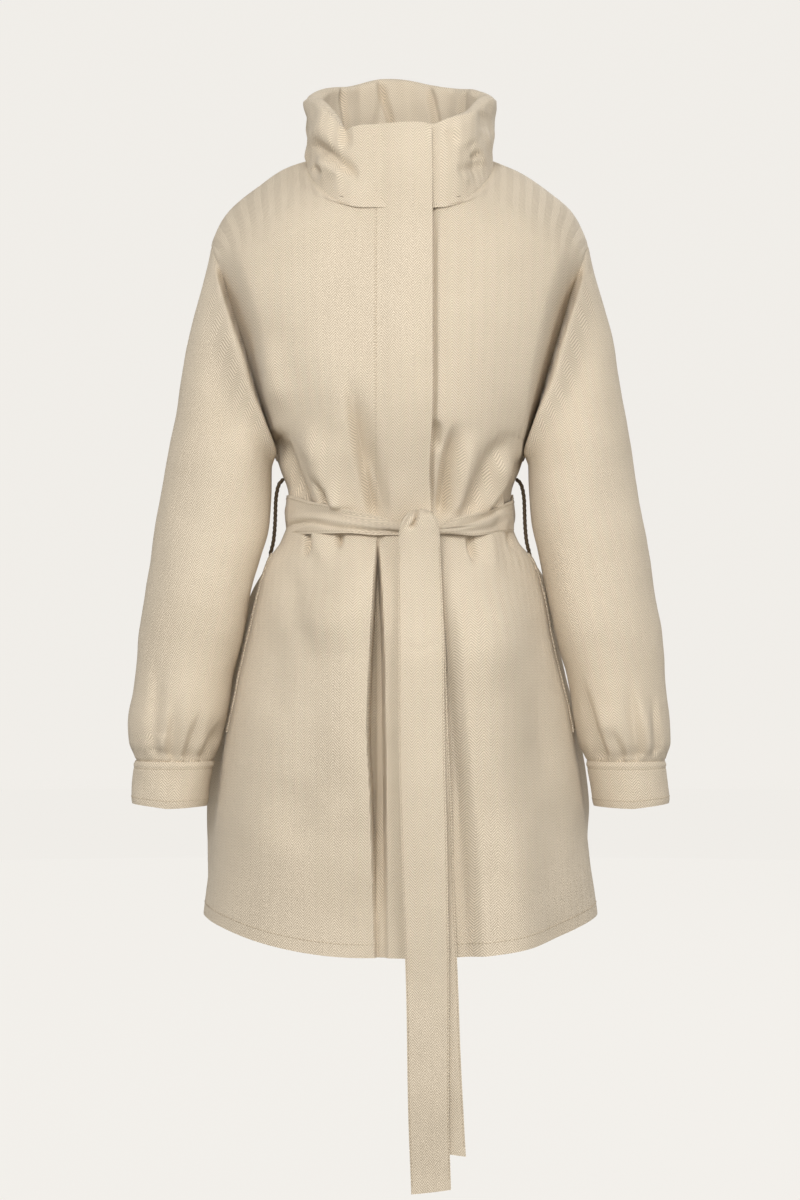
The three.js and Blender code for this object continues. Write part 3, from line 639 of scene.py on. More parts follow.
def cloth_material(name, light, dark, rib=0.0031, column=0.0072, bump=0.0004, sheen=0.25, rough=0.86):
    """Herringbone twill with ribs between a light and a dark beige, a little uneven over large areas."""
    material = bpy.data.materials.new(name)
    material.use_nodes = True
    tree = material.node_tree
    shader = tree.nodes["Principled BSDF"]
    made = link(tree, "ShaderNodeGroup", {"node_tree": weave}, Column=column, Rib=rib)
    place = link(tree, "ShaderNodeTexCoord")
    cloud = link(tree, "ShaderNodeTexNoise", Vector=place.outputs["Object"], Scale=9.0, Detail=3.0)
    uneven = maths(tree, "MULTIPLY", maths(tree, "SUBTRACT", cloud.outputs[0], 0.5), 0.35)
    blend = maths(tree, "ADD", made.outputs["Tint"], uneven)
    colour = link(tree, "ShaderNodeMix", {"data_type": "RGBA"}, Factor=blend, _6=(*dark, 1), _7=(*light, 1))
    tree.links.new(colour.outputs[2], shader.inputs["Base Color"])
    relief = link(tree, "ShaderNodeBump", Height=made.outputs["Height"], Distance=bump, Strength=1.0)
    tree.links.new(relief.outputs[0], shader.inputs["Normal"])
    roughness = maths(tree, "MULTIPLY_ADD", made.outputs["Tint"], -0.08, rough)
    tree.links.new(roughness, shader.inputs["Roughness"])
    shader.inputs["Specular IOR Level"].default_value = 0.25
    shader.inputs["Sheen Weight"].default_value = sheen
    shader.inputs["Sheen Roughness"].default_value = 0.5
    shader.inputs["Sheen Tint"].default_value = (1.0, 0.95, 0.86, 1)
    return material


shell = cloth_material("herringbone_twill", (0.83, 0.72, 0.565), (0.43, 0.35, 0.25))

thread = bpy.data.materials.new("sewing_thread")
thread.use_nodes = True
thread_shader = thread.node_tree.nodes["Principled BSDF"]
thread_place = link(thread.node_tree, "ShaderNodeTexCoord")
thread_twist = link(thread.node_tree, "ShaderNodeTexWave", Vector=thread_place.outputs["Object"],
                    Scale=900.0)
thread_tone = link(thread.node_tree, "ShaderNodeMix", {"data_type": "RGBA"}, Factor=thread_twist.outputs[1],
                   _6=(0.40, 0.32, 0.22, 1), _7=(0.60, 0.50, 0.37, 1))
thread.node_tree.links.new(thread_tone.outputs[2], thread_shader.inputs["Base Color"])
thread_shader.inputs["Roughness"].default_value = 0.6


def rows_of(*stretches):
    """Row places: each stretch is (from, to, steps)."""
    values = [np.linspace(a, b, n, endpoint=False) for a, b, n in stretches]
    return np.concatenate([*values, [stretches[-1][1]]])


panel_rows = rows_of((0, WAIST_ROW, 168), (WAIST_ROW, UNDERARM_ROW, 34), (UNDERARM_ROW, NECK_ROW, 84),
                     (NECK_ROW, 1.0, 44))
front_columns = rows_of((0, 0.2, 44), (0.2, 1.0, 84))
back_columns = np.linspace(0, 1, 90)
ROLLING_TURNS = 260
FRONT_EDGE = 7


def stand_off(points_, back):
    """How far the cloth stands off the plain shape there, with its folds and its uneven ground."""
    x, z = points_[..., 0], points_[..., 2]
    rise = back_folds(x, z) if back else front_folds(x, z)
    away = np.abs(points_[..., 1]) / 60
    return rise * smooth(away, 0.1, 0.9), wrinkle(points_, 75, 2.2, 1) + wrinkle(points_, 28, 0.5, 2)


def shaped_panel(side, back):
    """A panel's plain face, its normals, its folds' heights, its outer face and the cloth lengths on it."""
    columns = back_columns if back else front_columns
    grid, run = panel(side, back, panel_rows, columns, 0 if back else FRONT_EDGE)
    # the cloth rolls evenly from chest to shoulder between the fixed lines of neck and armhole
    loose = smooth(panel_rows, 0.66, 0.76) * (1 - smooth(panel_rows, 0.93, 1.0))
    loose_columns = smooth(columns, 0.02, 0.14) * (1 - smooth(columns, 0.88, 1))
    loose = 0.5 * loose[1:-1, None, None] * loose_columns[:, None]
    for _ in range(ROLLING_TURNS):
        grid[1:-1] += loose * ((grid[:-2] + grid[2:]) / 2 - grid[1:-1])
    out = normals(grid, (0, 1 if back else -1, 0))
    folds, ground = stand_off(grid, back)
    folds = folds * smooth(run / run[:, -1:], 1.0, 0.9)
    near_neck = seam_distance(neck_tree, grid, side)[1]
    ground = ground * smooth(run / run[:, -1:], 1.0, 0.97) * smooth(near_neck, 2, 20)
    face = shoulder_and_armhole(grid + out * (folds + ground)[..., None], side)
    step = np.diff(grid, axis=0)
    height = np.cumsum(np.hypot(step[..., 1], step[..., 2]), axis=0)
    height = grid[:1, :, 2] + np.concatenate([0 * height[:1], height])
    across = np.diff(grid, axis=1)
    width = np.cumsum(np.hypot(across[..., 0], across[..., 1]), axis=1)
    width = np.abs(grid[:, :1, 0]) + np.concatenate([0 * width[:, :1], width], 1)
    uv = np.stack([width, height], -1)
    return grid, out, folds, face, uv


def layers_of(grid, towards, thick):
    out = normals(grid, towards)
    return [grid, grid - out * (thick if np.isscalar(thick) else thick[..., None])]


# The fronts are open at the side seam between these heights, where the pockets are.
POCKET_BOTTOM, POCKET_TOP = -642, -441
WELT = (0.89, 0.952)
HEM_ROW = 5
plain = {}
for word, side in (("left", 1), ("right", -1)):
    for part, back in (("front", False), ("back", True)):
        base, base_out, folds, grid, uv = shaped_panel(side, back)
        plain[f"{part}_{word}"] = base, base_out, folds, grid, uv
        hem = CLOTH + 2.2 * (1 - smooth(panel_rows, 0.028, 0.034))[:, None] * np.ones(grid.shape[:2])
        columns = back_columns if back else front_columns
        heights = outer_height(np.minimum(panel_rows, UNDERARM_ROW))
        at_pocket = (heights > POCKET_BOTTOM) & (heights < POCKET_TOP) & (panel_rows < WAIST_ROW)
        hole = at_pocket[:-1, None] & (columns[:-1] > WELT[1])[None, :] & (not back)
        towards = (0, 1 if back else -1, 0)
        piece = mesh_from_grid(f"{part}_{word}_cloth", layers_of(grid, towards, hem), uv, kept=~hole)
        piece.data.materials.append(shell)
        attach(piece, "coat")
        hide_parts(f"{part}_{word}")
        cut_to(piece, uv, "hung", "collar")
        out = normals(grid, towards)
        hem_run = stitches(f"hem_{part}_{word}_stitches", grid[HEM_ROW] + out[HEM_ROW] * 0.2, out[HEM_ROW],
                           3.2, 1.3, 0.42)
        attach(hem_run, "coat")

# ---- Pockets ----
# An opening in each side seam with a stitched welt in front of it, tacked at both ends. The bag is lining
# cloth, folded once and sewn into the opening, and it lies between shell and lining.
lining = bpy.data.materials.new("lining_satin")
lining.use_nodes = True
lining_tree = lining.node_tree
lining_shader = lining_tree.nodes["Principled BSDF"]
lining_place = link(lining_tree, "ShaderNodeUVMap", {"uv_map": "cloth"})
lining_yarn = link(lining_tree, "ShaderNodeTexWave", {"wave_type": "BANDS", "bands_direction": "DIAGONAL"},
                   Vector=lining_place.outputs[0], Scale=520.0, Distortion=1.0)
lining_cloud = link(lining_tree, "ShaderNodeTexNoise", Vector=lining_place.outputs[0], Scale=14.0,
                    Detail=4.0)
lining_share = maths(lining_tree, "MULTIPLY_ADD", lining_yarn.outputs[1], 0.45,
                     maths(lining_tree, "MULTIPLY", lining_cloud.outputs[0], 0.5))
lining_colour = link(lining_tree, "ShaderNodeMix", {"data_type": "RGBA"}, Factor=lining_share,
                     _6=(0.16, 0.115, 0.07, 1), _7=(0.30, 0.23, 0.155, 1))
lining_tree.links.new(lining_colour.outputs[2], lining_shader.inputs["Base Color"])
lining_relief = link(lining_tree, "ShaderNodeBump", Height=lining_yarn.outputs[1], Distance=0.00008)
lining_tree.links.new(lining_relief.outputs[0], lining_shader.inputs["Normal"])
lining_tree.links.new(maths(lining_tree, "MULTIPLY_ADD", lining_cloud.outputs[0], 0.15, 0.36),
                      lining_shader.inputs["Roughness"])
lining_shader.inputs["Sheen Weight"].default_value = 0.3

BAG_BOTTOM, BAG_TOP = -700, -433


def finish_piece(piece, material, slot, body, *nodes):
    piece.data.materials.append(material)
    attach(piece, body)
    if nodes:
        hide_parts(*nodes)
    return piece


for word, side in (("left", 1), ("right", -1)):
    base, base_out, folds, grid, uv = plain[f"front_{word}"]
    out = normals(grid, (0, -1, 0))
    heights = outer_height(np.minimum(panel_rows, UNDERARM_ROW))
    along_pocket = (heights > POCKET_BOTTOM - 3) & (heights < POCKET_TOP + 3)
    rows = np.nonzero(along_pocket & (panel_rows < WAIST_ROW))[0]
    columns = np.nonzero((front_columns >= WELT[0]) & (front_columns <= WELT[1] + 0.004))[0]
    patch = np.ix_(rows, columns)
    round_top = 0.7 + np.sin(np.pi * np.linspace(0.12, 0.94, len(columns)))[None, :]
    top = grid[patch] + out[patch] * round_top[..., None]
    piece = mesh_from_grid(f"pocket_welt_{word}_cloth", [top, grid[patch] - out[patch] * 0.1], uv[patch])
    finish_piece(piece, shell, "shell_fabric", "coat", f"pocket_welt_{word}")
    line, line_out = top[:, 1], out[patch][:, 1]
    run = stitches(f"pocket_{word}_stitches", line + line_out * 0.2, line_out, 3.0, 1.2, 0.45)
    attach(run, "coat")
    for end, row in (("lower", 1), ("upper", -2)):
        tack = top[row] + out[patch][row] * 0.35
        bar = stitches(f"pocket_{word}_{end}_tack", tack, out[patch][row], 1.6, 0.05, 0.75)
        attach(bar, "coat")
    below = panel_rows < WAIST_ROW
    bag_rows = np.interp(np.linspace(BAG_BOTTOM, BAG_TOP, 60), heights[below], panel_rows[below])
    bag_columns = np.concatenate([np.linspace(0.95, 0.46, 34), np.linspace(0.46, 0.985, 36)])
    bag = panel(side, False, bag_rows, np.sort(bag_columns), FRONT_EDGE)[0]
    order = np.argsort(np.argsort(bag_columns, kind="stable"), kind="stable")
    bag = bag[:, order]
    folded = stand_off(bag, False)[0]
    bag_out = normals(panel(side, False, bag_rows, np.linspace(0.46, 0.985, 70), FRONT_EDGE)[0], (0, -1, 0))
    nearest = np.clip(np.round((bag_columns - 0.46) / 0.525 * 69).astype(int), 0, 69)
    bag_out = bag_out[:, nearest]
    closed = np.sin(np.pi * np.linspace(0.04, 0.96, 60))[:, None] ** 0.3
    behind = smooth(np.arange(70), 30, 38)[None, :]
    depth = 6.0 + 12.0 * behind * closed + 1.2 * np.maximum(-folded, 0) + wrinkle(bag, 30, 1.0, 41)
    bag = bag - bag_out * np.clip(depth, 5.0, 24)[..., None]
    bag_width, bag_height = np.linspace(0, 270, 70)[None, :], np.linspace(0, 267, 60)[:, None]
    bag_uv = np.stack(np.broadcast_arrays(bag_width, bag_height), -1)
    piece = mesh_from_grid(f"pocket_bag_{word}_cloth", [bag, bag - bag_out * 0.5], bag_uv)
    finish_piece(piece, lining, "lining_fabric", "coat", f"pocket_bag_{word}")
    cut_to(piece, bag_uv, "folded", f"front_{word}_cloth")

# ---- Lining ----
# Thin satin that hangs free inside the shell from the shoulders, cut a little clear of the pocket bags
# and the seams.
LINING_GAP = 7.5
LINING_CLOTH = 0.6
for word, side in (("left", 1), ("right", -1)):
    for part, back in (("front", False), ("back", True)):
        base, base_out, folds, grid, uv = plain[f"{part}_{word}"]
        columns = back_columns if back else front_columns
        keep_rows = np.nonzero((panel_rows > 0.04) & (panel_rows < 0.96))[0][::2]
        across = np.abs(base[40, :, 0])
        keep_columns = np.nonzero((across > (1 if back else 24)) & (columns < 0.985))[0][::2]
        patch = np.ix_(keep_rows, keep_columns)
        v = panel_rows[keep_rows][:, None]
        room = 18 * smooth(v, 0.06, 0.14) * (1 - smooth(v, 0.465, 0.56)) * (0 if back else 1)
        sunk = np.maximum(-folds[patch], 0) * 1.15
        hang = 1.5 * np.sin(uv[patch][..., 0] / 13) * (1 - smooth(v, 0.5, 0.9))
        satin = base[patch] - base_out[patch] * (LINING_GAP + room + sunk + hang)[..., None]
        satin = shoulder_and_armhole(satin, side)
        towards = (0, 1 if back else -1, 0)
        satin_layers = layers_of(satin, towards, LINING_CLOTH)
        piece = mesh_from_grid(f"lining_{part}_{word}_cloth", satin_layers, uv[patch])
        finish_piece(piece, lining, "lining_fabric", "coat", f"lining_{part}_{word}")
        cut_to(piece, uv[patch], "hung", f"{part}_{word}_cloth")

# ---- Fly ----
# A doubled strip of the same cloth that covers the zip, sewn down along the wearer's right and free at the
# left. It runs from the collar's rim to the hem in one length; only the part above the belt can be lifted.
FLY_BREAK = -410
fly_columns = rows_of((0, 0.12, 10), (0.12, 0.9, 34), (0.9, 1, 8))


def fly_strip(z):
    x = mix(FLY_LEFT, FLY_RIGHT, fly_columns)[None, :]
    z = z[:, None]
    x = x - 3.5 * smooth(x, 20, FLY_RIGHT) * np.exp(-((z + 350) / 45) ** 2)
    stand = 2.6 + 4.2 * smooth(x, FLY_LEFT, FLY_LEFT + 40)
    pleat = pleat_share(z)
    stand = stand - pleat * PLEAT_DEPTH * (1 - smooth(x, PLEAT_MOUTH(z) - 3, PLEAT_MOUTH(z) + 1.5))
    # above the belt the strip buckles a little, as the cloth beside it is drawn in
    stand = stand + 5.0 * np.exp(-((z + 376) / 22) ** 2) * np.exp(-((x + 4) / 22) ** 2)
    stand = stand - 2.6 * smooth(x, 14, FLY_RIGHT) * np.exp(-((z + 330) / 50) ** 2)
    y = -front_depth(z) - 0 * x
    grid = points(np.broadcast_to(x, y.shape), y, np.broadcast_to(z, y.shape))
    folds, ground = stand_off(grid, False)
    flush = 1 - smooth(x, FLY_LEFT, FLY_LEFT + mix(20, 3, smooth(pleat, 0, 0.3)))
    grid[..., 1] -= mix(stand + ground, folds + ground + 0.6, flush)
    corner = np.clip((x - (FLY_RIGHT - 13)) / 13, 0, 1)
    top = 11 * (1 - np.sqrt(1 - corner ** 2)) - 1.5 * smooth(x, FLY_LEFT, 10)
    grid[..., 2] -= top * smooth(z, RIM_FRONT - 40, RIM_FRONT)
    return grid


for name, low, high, rows in (
    ("fly_upper", FLY_BREAK, RIM_FRONT, 160),
    ("fly_lower", HEM_FRONT, FLY_BREAK - 0.3, 180),
):
    z = np.linspace(low, high, rows)
    grid = fly_strip(z)
    across = np.hypot(*np.diff(grid[..., :2], axis=1).transpose(2, 0, 1))
    across = np.concatenate([0 * across[:, :1], np.cumsum(across, axis=1)], 1)
    uv = np.stack(np.broadcast_arrays(across - across[:, -1:], z[:, None]), -1)
    thick = (0.5 + 2.0 * smooth(fly_columns, 0.0, 0.15))[None, :] * np.ones(grid.shape[:2])
    piece = mesh_from_grid(f"{name}_cloth", layers_of(grid, (0, -1, 0), thick), uv)
    piece.data.materials.append(shell)
    out = normals(grid, (0, -1, 0))
    run = stitches(f"{name}_stitches", grid[:, 2] + out[:, 2] * 0.15, out[:, 2], 3.0, 1.3, 0.42)
    for part in (piece, run):
        if name == "fly_upper":
            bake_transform(part)
        else:
            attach(part, "coat")
    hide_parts(name)
    cut_to(piece, uv, "stretched", "front_right_cloth")

# ---- Collar ----
# A tall funnel of outer and inner cloth over thick wadding, rolled at the rim and gathered inside at the
# back. It's sewn into the neck seam and open at the front, where the fly covers its ends.
COLLAR_EDGE = 7
COLLAR_STRAIGHT = 0.11


def collar_wall(u, rise):
    """The collar's outer face: u runs from the right front edge round the back to the left front edge."""
    u, rise = np.broadcast_arrays(u, rise)
    side = np.where(u < 0.5, -1.0, 1.0)
    share = 1 - np.abs(1 - 2 * u)
    angle = np.clip((share - COLLAR_STRAIGHT) / (1 - COLLAR_STRAIGHT), 0, 1) * np.pi
    base = -3.75 - 37.5 * np.cos(angle) - 11.75 * np.cos(2 * angle)
    rim = 81.25 - 39.5 * np.cos(angle) - 1.75 * np.cos(2 * angle)
    rim = rim + np.where(side < 0, RIM_RIGHT(angle), RIM_LEFT(angle))
    z = mix(base, rim, rise)
    half = NECK_HALF_WIDTH + 1.5 * rise
    front = front_depth(mix(NECK_FRONT, RIM_FRONT, rise))
    behind = angle > np.pi / 2
    x = np.where(behind, half * np.sin(angle), FLAT + (half - FLAT) * np.sin(angle))
    y = -np.where(behind, NECK_BACK + 9 * rise, front) * np.cos(angle)
    flat = share < COLLAR_STRAIGHT
    x = np.where(flat, mix(COLLAR_EDGE, FLAT, share / COLLAR_STRAIGHT), x)
    return points(side * x, np.where(flat, -front, y), z)


def rim_line(pairs):
    """The rim's rise over its plain line at angles in degrees, from the front round to the back."""
    return through([(math.radians(angle), rise) for angle, rise in pairs])


RIM_RIGHT = rim_line([
    (0, 0), (12, -3), (19, -7), (27, 1), (36, 8), (52, 12), (70, 11), (90, 4), (135, -1), (160, 2), (180, 0),
])
RIM_LEFT = rim_line([(0, 1), (8, 5), (27, 10), (46, 11), (70, 13), (90, 5), (135, -3), (160, -2), (180, 0)])
collar_u = np.linspace(0, 1, 300)
wall_u = collar_u[None, :]
collar_share = 1 - np.abs(1 - 2 * wall_u)
COLLAR_HEIGHT = 93.0
collar_thick = 5 + 10.5 * smooth(collar_share, 0.13, 0.3)


def collar_section():
    """Rows of (rise, depth) that go up the outer face, over the rim and down the inner face."""
    half = collar_thick / 2
    top = 1 - half / COLLAR_HEIGHT
    rises, depths = [], []
    for s in np.linspace(0, 1, 34, endpoint=False):
        rises.append(s * top - 0.028 * (1 - s))
        depths.append(0 * half)
    for a in np.linspace(0, np.pi, 17):
        lift = np.sin(a) ** 0.7 if a < np.pi / 2 else np.sin(a) ** 1.2
        rises.append(top + half / COLLAR_HEIGHT * lift)
        depths.append(half * (1 - np.cos(a)))
    for s in np.linspace(1, 0.04, 34)[1:]:
        rises.append(s * top)
        depths.append(collar_thick)
    return np.concatenate(rises), np.concatenate(depths)


rise, depth = collar_section()
inner_face = smooth(depth / collar_thick, 0.55, 1.0)
outer_face = 1 - smooth(depth / collar_thick, 0.0, 0.45)
wall = collar_wall(wall_u, rise)
step = 1e-3
along = collar_wall(np.minimum(wall_u + step, 1), rise) - collar_wall(np.maximum(wall_u - step, 0), rise)
upward = collar_wall(wall_u, rise + step) - collar_wall(wall_u, rise - step)
collar_out = np.cross(upward, along)
collar_out /= np.linalg.norm(collar_out, axis=-1, keepdims=True)
padded_share = smooth(collar_share, 0.16, 0.34)
flare = smooth(np.abs(wall[..., 0]), 60, 100) * outer_face * padded_share
puff = (0.8 * np.sin(np.pi * np.clip(rise, 0, 1)) + 2.0 * smooth(rise, 0.55, 0.97)) * flare
puff = puff + outer_face * (1.2 + 0.9 * (1 - smooth(rise, 0, 0.07)))
grid = wall + collar_out * (puff - depth)[..., None]
COLLAR_CREASES = [
    ([(-102, 26), (-84, 9), (-66, -6), (-42, -26)], (3.5, 8), -6.5, (0.2, 0.3)),
    ([(-96, 8), (-76, -10), (-58, -22)], (8, 4), 3.5, (0.3, 0.3)),
    ([(-102, -2), (-86, -14)], 4, -4.0, (0.2, 0.3)),
    ([(-98, 50), (-84, 26), (-64, 12)], 12, 4.0, (0.3, 0.3)),
    ([(-66, 36), (-62, 22), (-56, 8)], (4, 7), -4.5, (0.0, 0.6)),
    ([(80, 2), (92, 12)], 4, -4.5, (0.3, 0.3)),
    ([(62, -14), (86, -6), (98, 6)], 6, -3.0, (0.2, 0.3)),
    ([(56, 40), (82, 18)], 14, 3.5, (0.3, 0.3)),
    ([(60, 16), (54, 34)], 6, -3.0, (0.3, 0.2)),
    ([(98, 60), (94, 34)], 8, -3.0, (0.3, 0.4)),
]
crease = 1.4 * sum(fold(grid[..., 0], grid[..., 2], *f) for f in COLLAR_CREASES)
creased = outer_face * smooth(rise, 0.02, 0.14)
creased = creased * smooth(-grid[..., 1], 15, 70) * smooth(collar_share, 0.1, 0.16)
grid = grid + collar_out * (crease * creased)[..., None]
# the inner cloth is a little long for the neck, so it stands in puffs between sharp gathers
gather = np.zeros(grid.shape[:2])
for place, lean, width, sink in ((-69, 4, 3.4, 9), (-23, 9, 3.6, 8), (-20, -4, 5, 3), (35, 6, 4.0, 8),
                                 (80, -6, 3.2, 9), (8, 3, 7, 2.5), (58, 0, 8, 2.5), (-46, 0, 8, 2.5)):
    x = grid[..., 0] - place - lean * (110 - grid[..., 2]) / 30
    gather -= sink * np.exp(-(x / width) ** 2)
gather += 3.0
gathered = smooth(grid[..., 1], 30, 60) * inner_face
grid = grid - collar_out * (gather * gathered * (0.35 + 0.65 * (1 - smooth(rise, 0.86, 0.99))))[..., None]
rough = wrinkle(grid, 30, 4.6, 4) * (0.35 + 0.65 * padded_share) + wrinkle(grid, 15, 1.2, 5) * padded_share
grid = grid + collar_out * (rough * smooth(rise, 0.0, 0.16))[..., None]
rim_wave = 2.2 * np.sin(wall_u * 41) * smooth(rise, 0.6, 1.0) * padded_share
grid[..., 2] += rim_wave


def mesh_from_loops(name, grid, uv, wrap_rows=False, wrap_columns=False, mirror_caps=False):
    """A closed mesh over one grid whose rows or columns close on themselves, capped from row i to row -i."""
    rows, columns = grid.shape[:2]
    i, j = np.meshgrid(np.arange(rows if wrap_rows else rows - 1),
                       np.arange(columns if wrap_columns else columns - 1), indexing="ij")
    i, j = i.ravel(), j.ravel()
    m, k = (i + 1) % rows, (j + 1) % columns
    faces = np.stack([i * columns + j, i * columns + k, m * columns + k, m * columns + j], 1).tolist()
    if mirror_caps:
        for column in (0, columns - 1):
            for r in range(rows // 2 - 1):
                quad = [q * columns + column for q in (r, r + 1, rows - 2 - r, rows - 1 - r)]
                faces.append(quad if column else quad[::-1])
    mesh = bpy.data.meshes.new(name)
    mesh.from_pydata((grid.reshape(-1, 3) * 0.001).tolist(), [], faces)
    layer = mesh.uv_layers.new(name="cloth")
    loops = np.zeros(len(mesh.loops), np.int32)
    mesh.loops.foreach_get("vertex_index", loops)
    layer.data.foreach_set("uv", (uv.reshape(-1, 2) * 0.001)[loops].astype(np.float32).ravel())
    mesh.shade_smooth()
    mesh.set_sharp_from_angle(angle=math.radians(70))
    mesh_faces_out(mesh)
    piece = bpy.data.objects.new(name, mesh)
    bpy.context.scene.collection.objects.link(piece)
    return piece


collar_run = np.linalg.norm(np.diff(wall[0], axis=0), axis=1)
collar_run = np.concatenate([[0], np.cumsum(collar_run)])
uv = np.stack(np.broadcast_arrays(collar_run[None, :], rise * COLLAR_HEIGHT), -1)
collar = mesh_from_loops("collar", grid, uv, wrap_rows=True, mirror_caps=True)
collar.data.materials.append(shell)
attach(collar, "coat")
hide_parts("collar_outer", "collar_wadding", "collar_inner")

# ---- Sleeves ----
# Full sleeves set into dropped armholes and pleated into the cuffs, cut from the same twill. Each swings from
# the top of its armhole.
# Stations down the sleeve from the armhole to the cuff, on its outer, inner, front and back lines.
SLEEVE = {
    "outer": [(214, 0, -88), (241, -2, -182), (262, -4, -300), (284, -6, -425), (299, -12, -530),
              (305, -20, -620), (302, -26, -676)],
    "inner": [(148, 0, -312), (148, -10, -348), (150, -16, -402), (166, -22, -470), (182, -28, -545),
              (200, -30, -615), (213, -28, -676)],
    "front": [(180, -54, -195), (188, -64, -265), (202, -68, -345), (222, -72, -448), (240, -77, -538),
              (254, -78, -618), (258, -65, -676)],
    "back": [(182, 56, -195), (188, 60, -265), (202, 54, -345), (222, 47, -448), (240, 37, -538),
             (252, 27, -618), (258, 12, -676)],
}
SLEEVE_ROWS, SLEEVE_COLUMNS = 200, 144
stage_v = np.linspace(0, 1, 7)
sleeve_v = np.linspace(0, 1, SLEEVE_ROWS)
sleeve_lines = {
    name: np.stack([through(list(zip(stage_v, [p[k] for p in line])))(sleeve_v) for k in range(3)], -1)
    for name, line in SLEEVE.items()
}
# Folds of each sleeve's front as (line, width, depth, ends), drawn for the wearer's left; x grows outwards.
LEFT_SLEEVE_FOLDS = [
    ([(222, -150), (200, -240), (166, -340)], (16, 22), -8, (0.4, 0.5)),
    ([(198, -120), (178, -200), (172, -240)], 13, 7, (0.3, 0.4)),
    ([(250, -300), (236, -420)], 26, -4, (0.4, 0.4)),
    ([(232, -666), (202, -572)], (4, 9), -8, (0, 0.6)),
    ([(251, -667), (236, -632)], (4, 8), -7, (0, 0.6)),
    ([(269, -664), (256, -570)], (4, 9), -8, (0, 0.6)),
    ([(287, -660), (284, -590)], (4, 8), -6, (0, 0.6)),
    ([(242, -662), (222, -600)], 7, 4, (0, 0.7)),
    ([(278, -660), (272, -600)], 7, 4, (0, 0.7)),
]
RIGHT_SLEEVE_FOLDS = [
    ([(220, -175), (196, -290), (170, -335)], (18, 24), -7, (0.4, 0.4)),
    ([(201, -120), (158, -265)], 13, 6, (0.3, 0.4)),
    ([(252, -320), (240, -440)], 28, -4, (0.4, 0.4)),
    ([(260, -666), (252, -597)], (4, 9), -8, (0, 0.6)),
    ([(241, -667), (224, -612)], (4, 9), -8, (0, 0.6)),
    ([(223, -667), (205, -625)], (4, 8), -7, (0, 0.6)),
    ([(277, -660), (277, -550)], (5, 12), -5, (0, 0.5)),
    ([(268, -656), (266, -640)], 6, 4, (0, 0.6)),
    ([(232, -660), (214, -600)], 6, 4, (0, 0.7)),
]
BACK_PLEATS = [([(x, -668), (x - 14, -590)], (5, 8), -7, (0, 0.6)) for x in (226, 243, 260, 277, 292)]


def sleeve_face(side):
    turn = np.linspace(np.pi, 3 * np.pi, SLEEVE_COLUMNS, endpoint=False)[None, :]
    lines = {k: v[:, None, :] for k, v in sleeve_lines.items()}
    centre = (lines["outer"] + lines["inner"]) / 2
    cos, sin = np.cos(turn)[..., None], np.sin(turn)[..., None]
    face = np.where(sin >= 0, lines["front"], lines["back"]) - centre
    grid = centre + (lines["outer"] - centre) * cos + face * np.abs(sin)
    out = grid - centre
    out /= np.linalg.norm(out, axis=-1, keepdims=True)
    x, z = grid[..., 0], grid[..., 2]
    front = smooth(np.sin(turn), 0.0, 0.35) * np.ones(x.shape)
    back = smooth(-np.sin(turn), 0.0, 0.35) * np.ones(x.shape)
    folds = LEFT_SLEEVE_FOLDS if side > 0 else RIGHT_SLEEVE_FOLDS
    move = front * sum(fold(x, z, *f) for f in folds) + back * sum(fold(x, z, *f) for f in BACK_PLEATS)
    v = sleeve_v[:, None]
    move = move * smooth(v, 0.0, 0.06) + 5 * smooth(v, 0.72, 0.88) * (1 - smooth(v, 0.93, 1.0))
    move = move - 1.6 * smooth(v, 0.985, 1.0)
    move = move + (wrinkle(grid, 70, 3.0, 6 + side) + wrinkle(grid, 26, 0.7, 8 + side)) * smooth(v, 0, 0.08)
    grid = grid + out * move[..., None]
    mirrored = grid * np.array([side, 1, 1])
    shaped = shoulder_and_armhole(mirrored, side, sleeve=True)
    arm = np.array([side * 0.21, -0.06, -0.976])
    around = np.diff(mirrored, axis=1)
    around = np.linalg.norm(around - (around @ arm)[..., None] * arm, axis=-1)
    around = np.concatenate([0 * around[:, :1], np.cumsum(around, axis=1)], 1)
    around = around - around[:, [SLEEVE_COLUMNS * 3 // 4]]
    uv = np.stack([around, -mirrored @ arm], -1)
    return shaped, uv


def bends_with(piece):
    """Bakes a sleeve piece's placing into its mesh."""
    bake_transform(piece)


def outward(grid):
    """Normals of a tube of points, pointing away from its middle line."""
    wrapped = np.concatenate([grid[:, -1:], grid, grid[:, :1]], 1)
    out = np.cross(np.gradient(wrapped, axis=1), np.gradient(wrapped, axis=0))[:, 1:-1]
    out /= np.maximum(np.linalg.norm(out, axis=-1, keepdims=True), 1e-9)
    away = grid - grid.mean(1, keepdims=True)
    return out if (out * away).sum() > 0 else -out


sleeves = {}
for word, side in (("left", 1), ("right", -1)):
    grid, uv = sleeve_face(side)
    sleeves[word] = grid
    out = outward(grid)
    piece = mesh_from_grid(f"sleeve_{word}_cloth", [grid, grid - out * CLOTH], uv, ring_columns=True)
    piece.data.materials.append(shell)
    bends_with(piece)
    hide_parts(f"sleeve_top_{word}", f"sleeve_under_{word}")
    cut_to(piece, uv, "hung", f"front_{word}_cloth", f"back_{word}_cloth")
    inner = slice(12, -6, 2)
    satin = grid[inner, ::2] - out[inner, ::2] * (6.0 + wrinkle(grid[inner, ::2], 30, 1.0, 51))[..., None]
    piece = mesh_from_grid(f"sleeve_lining_{word}_cloth", [satin, satin - out[inner, ::2] * LINING_CLOTH],
                           uv[inner, ::2], ring_columns=True)
    piece.data.materials.append(lining)
    bends_with(piece)
    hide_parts(f"sleeve_lining_{word}")
    cut_to(piece, uv[inner, ::2], "hung", f"sleeve_{word}_cloth")

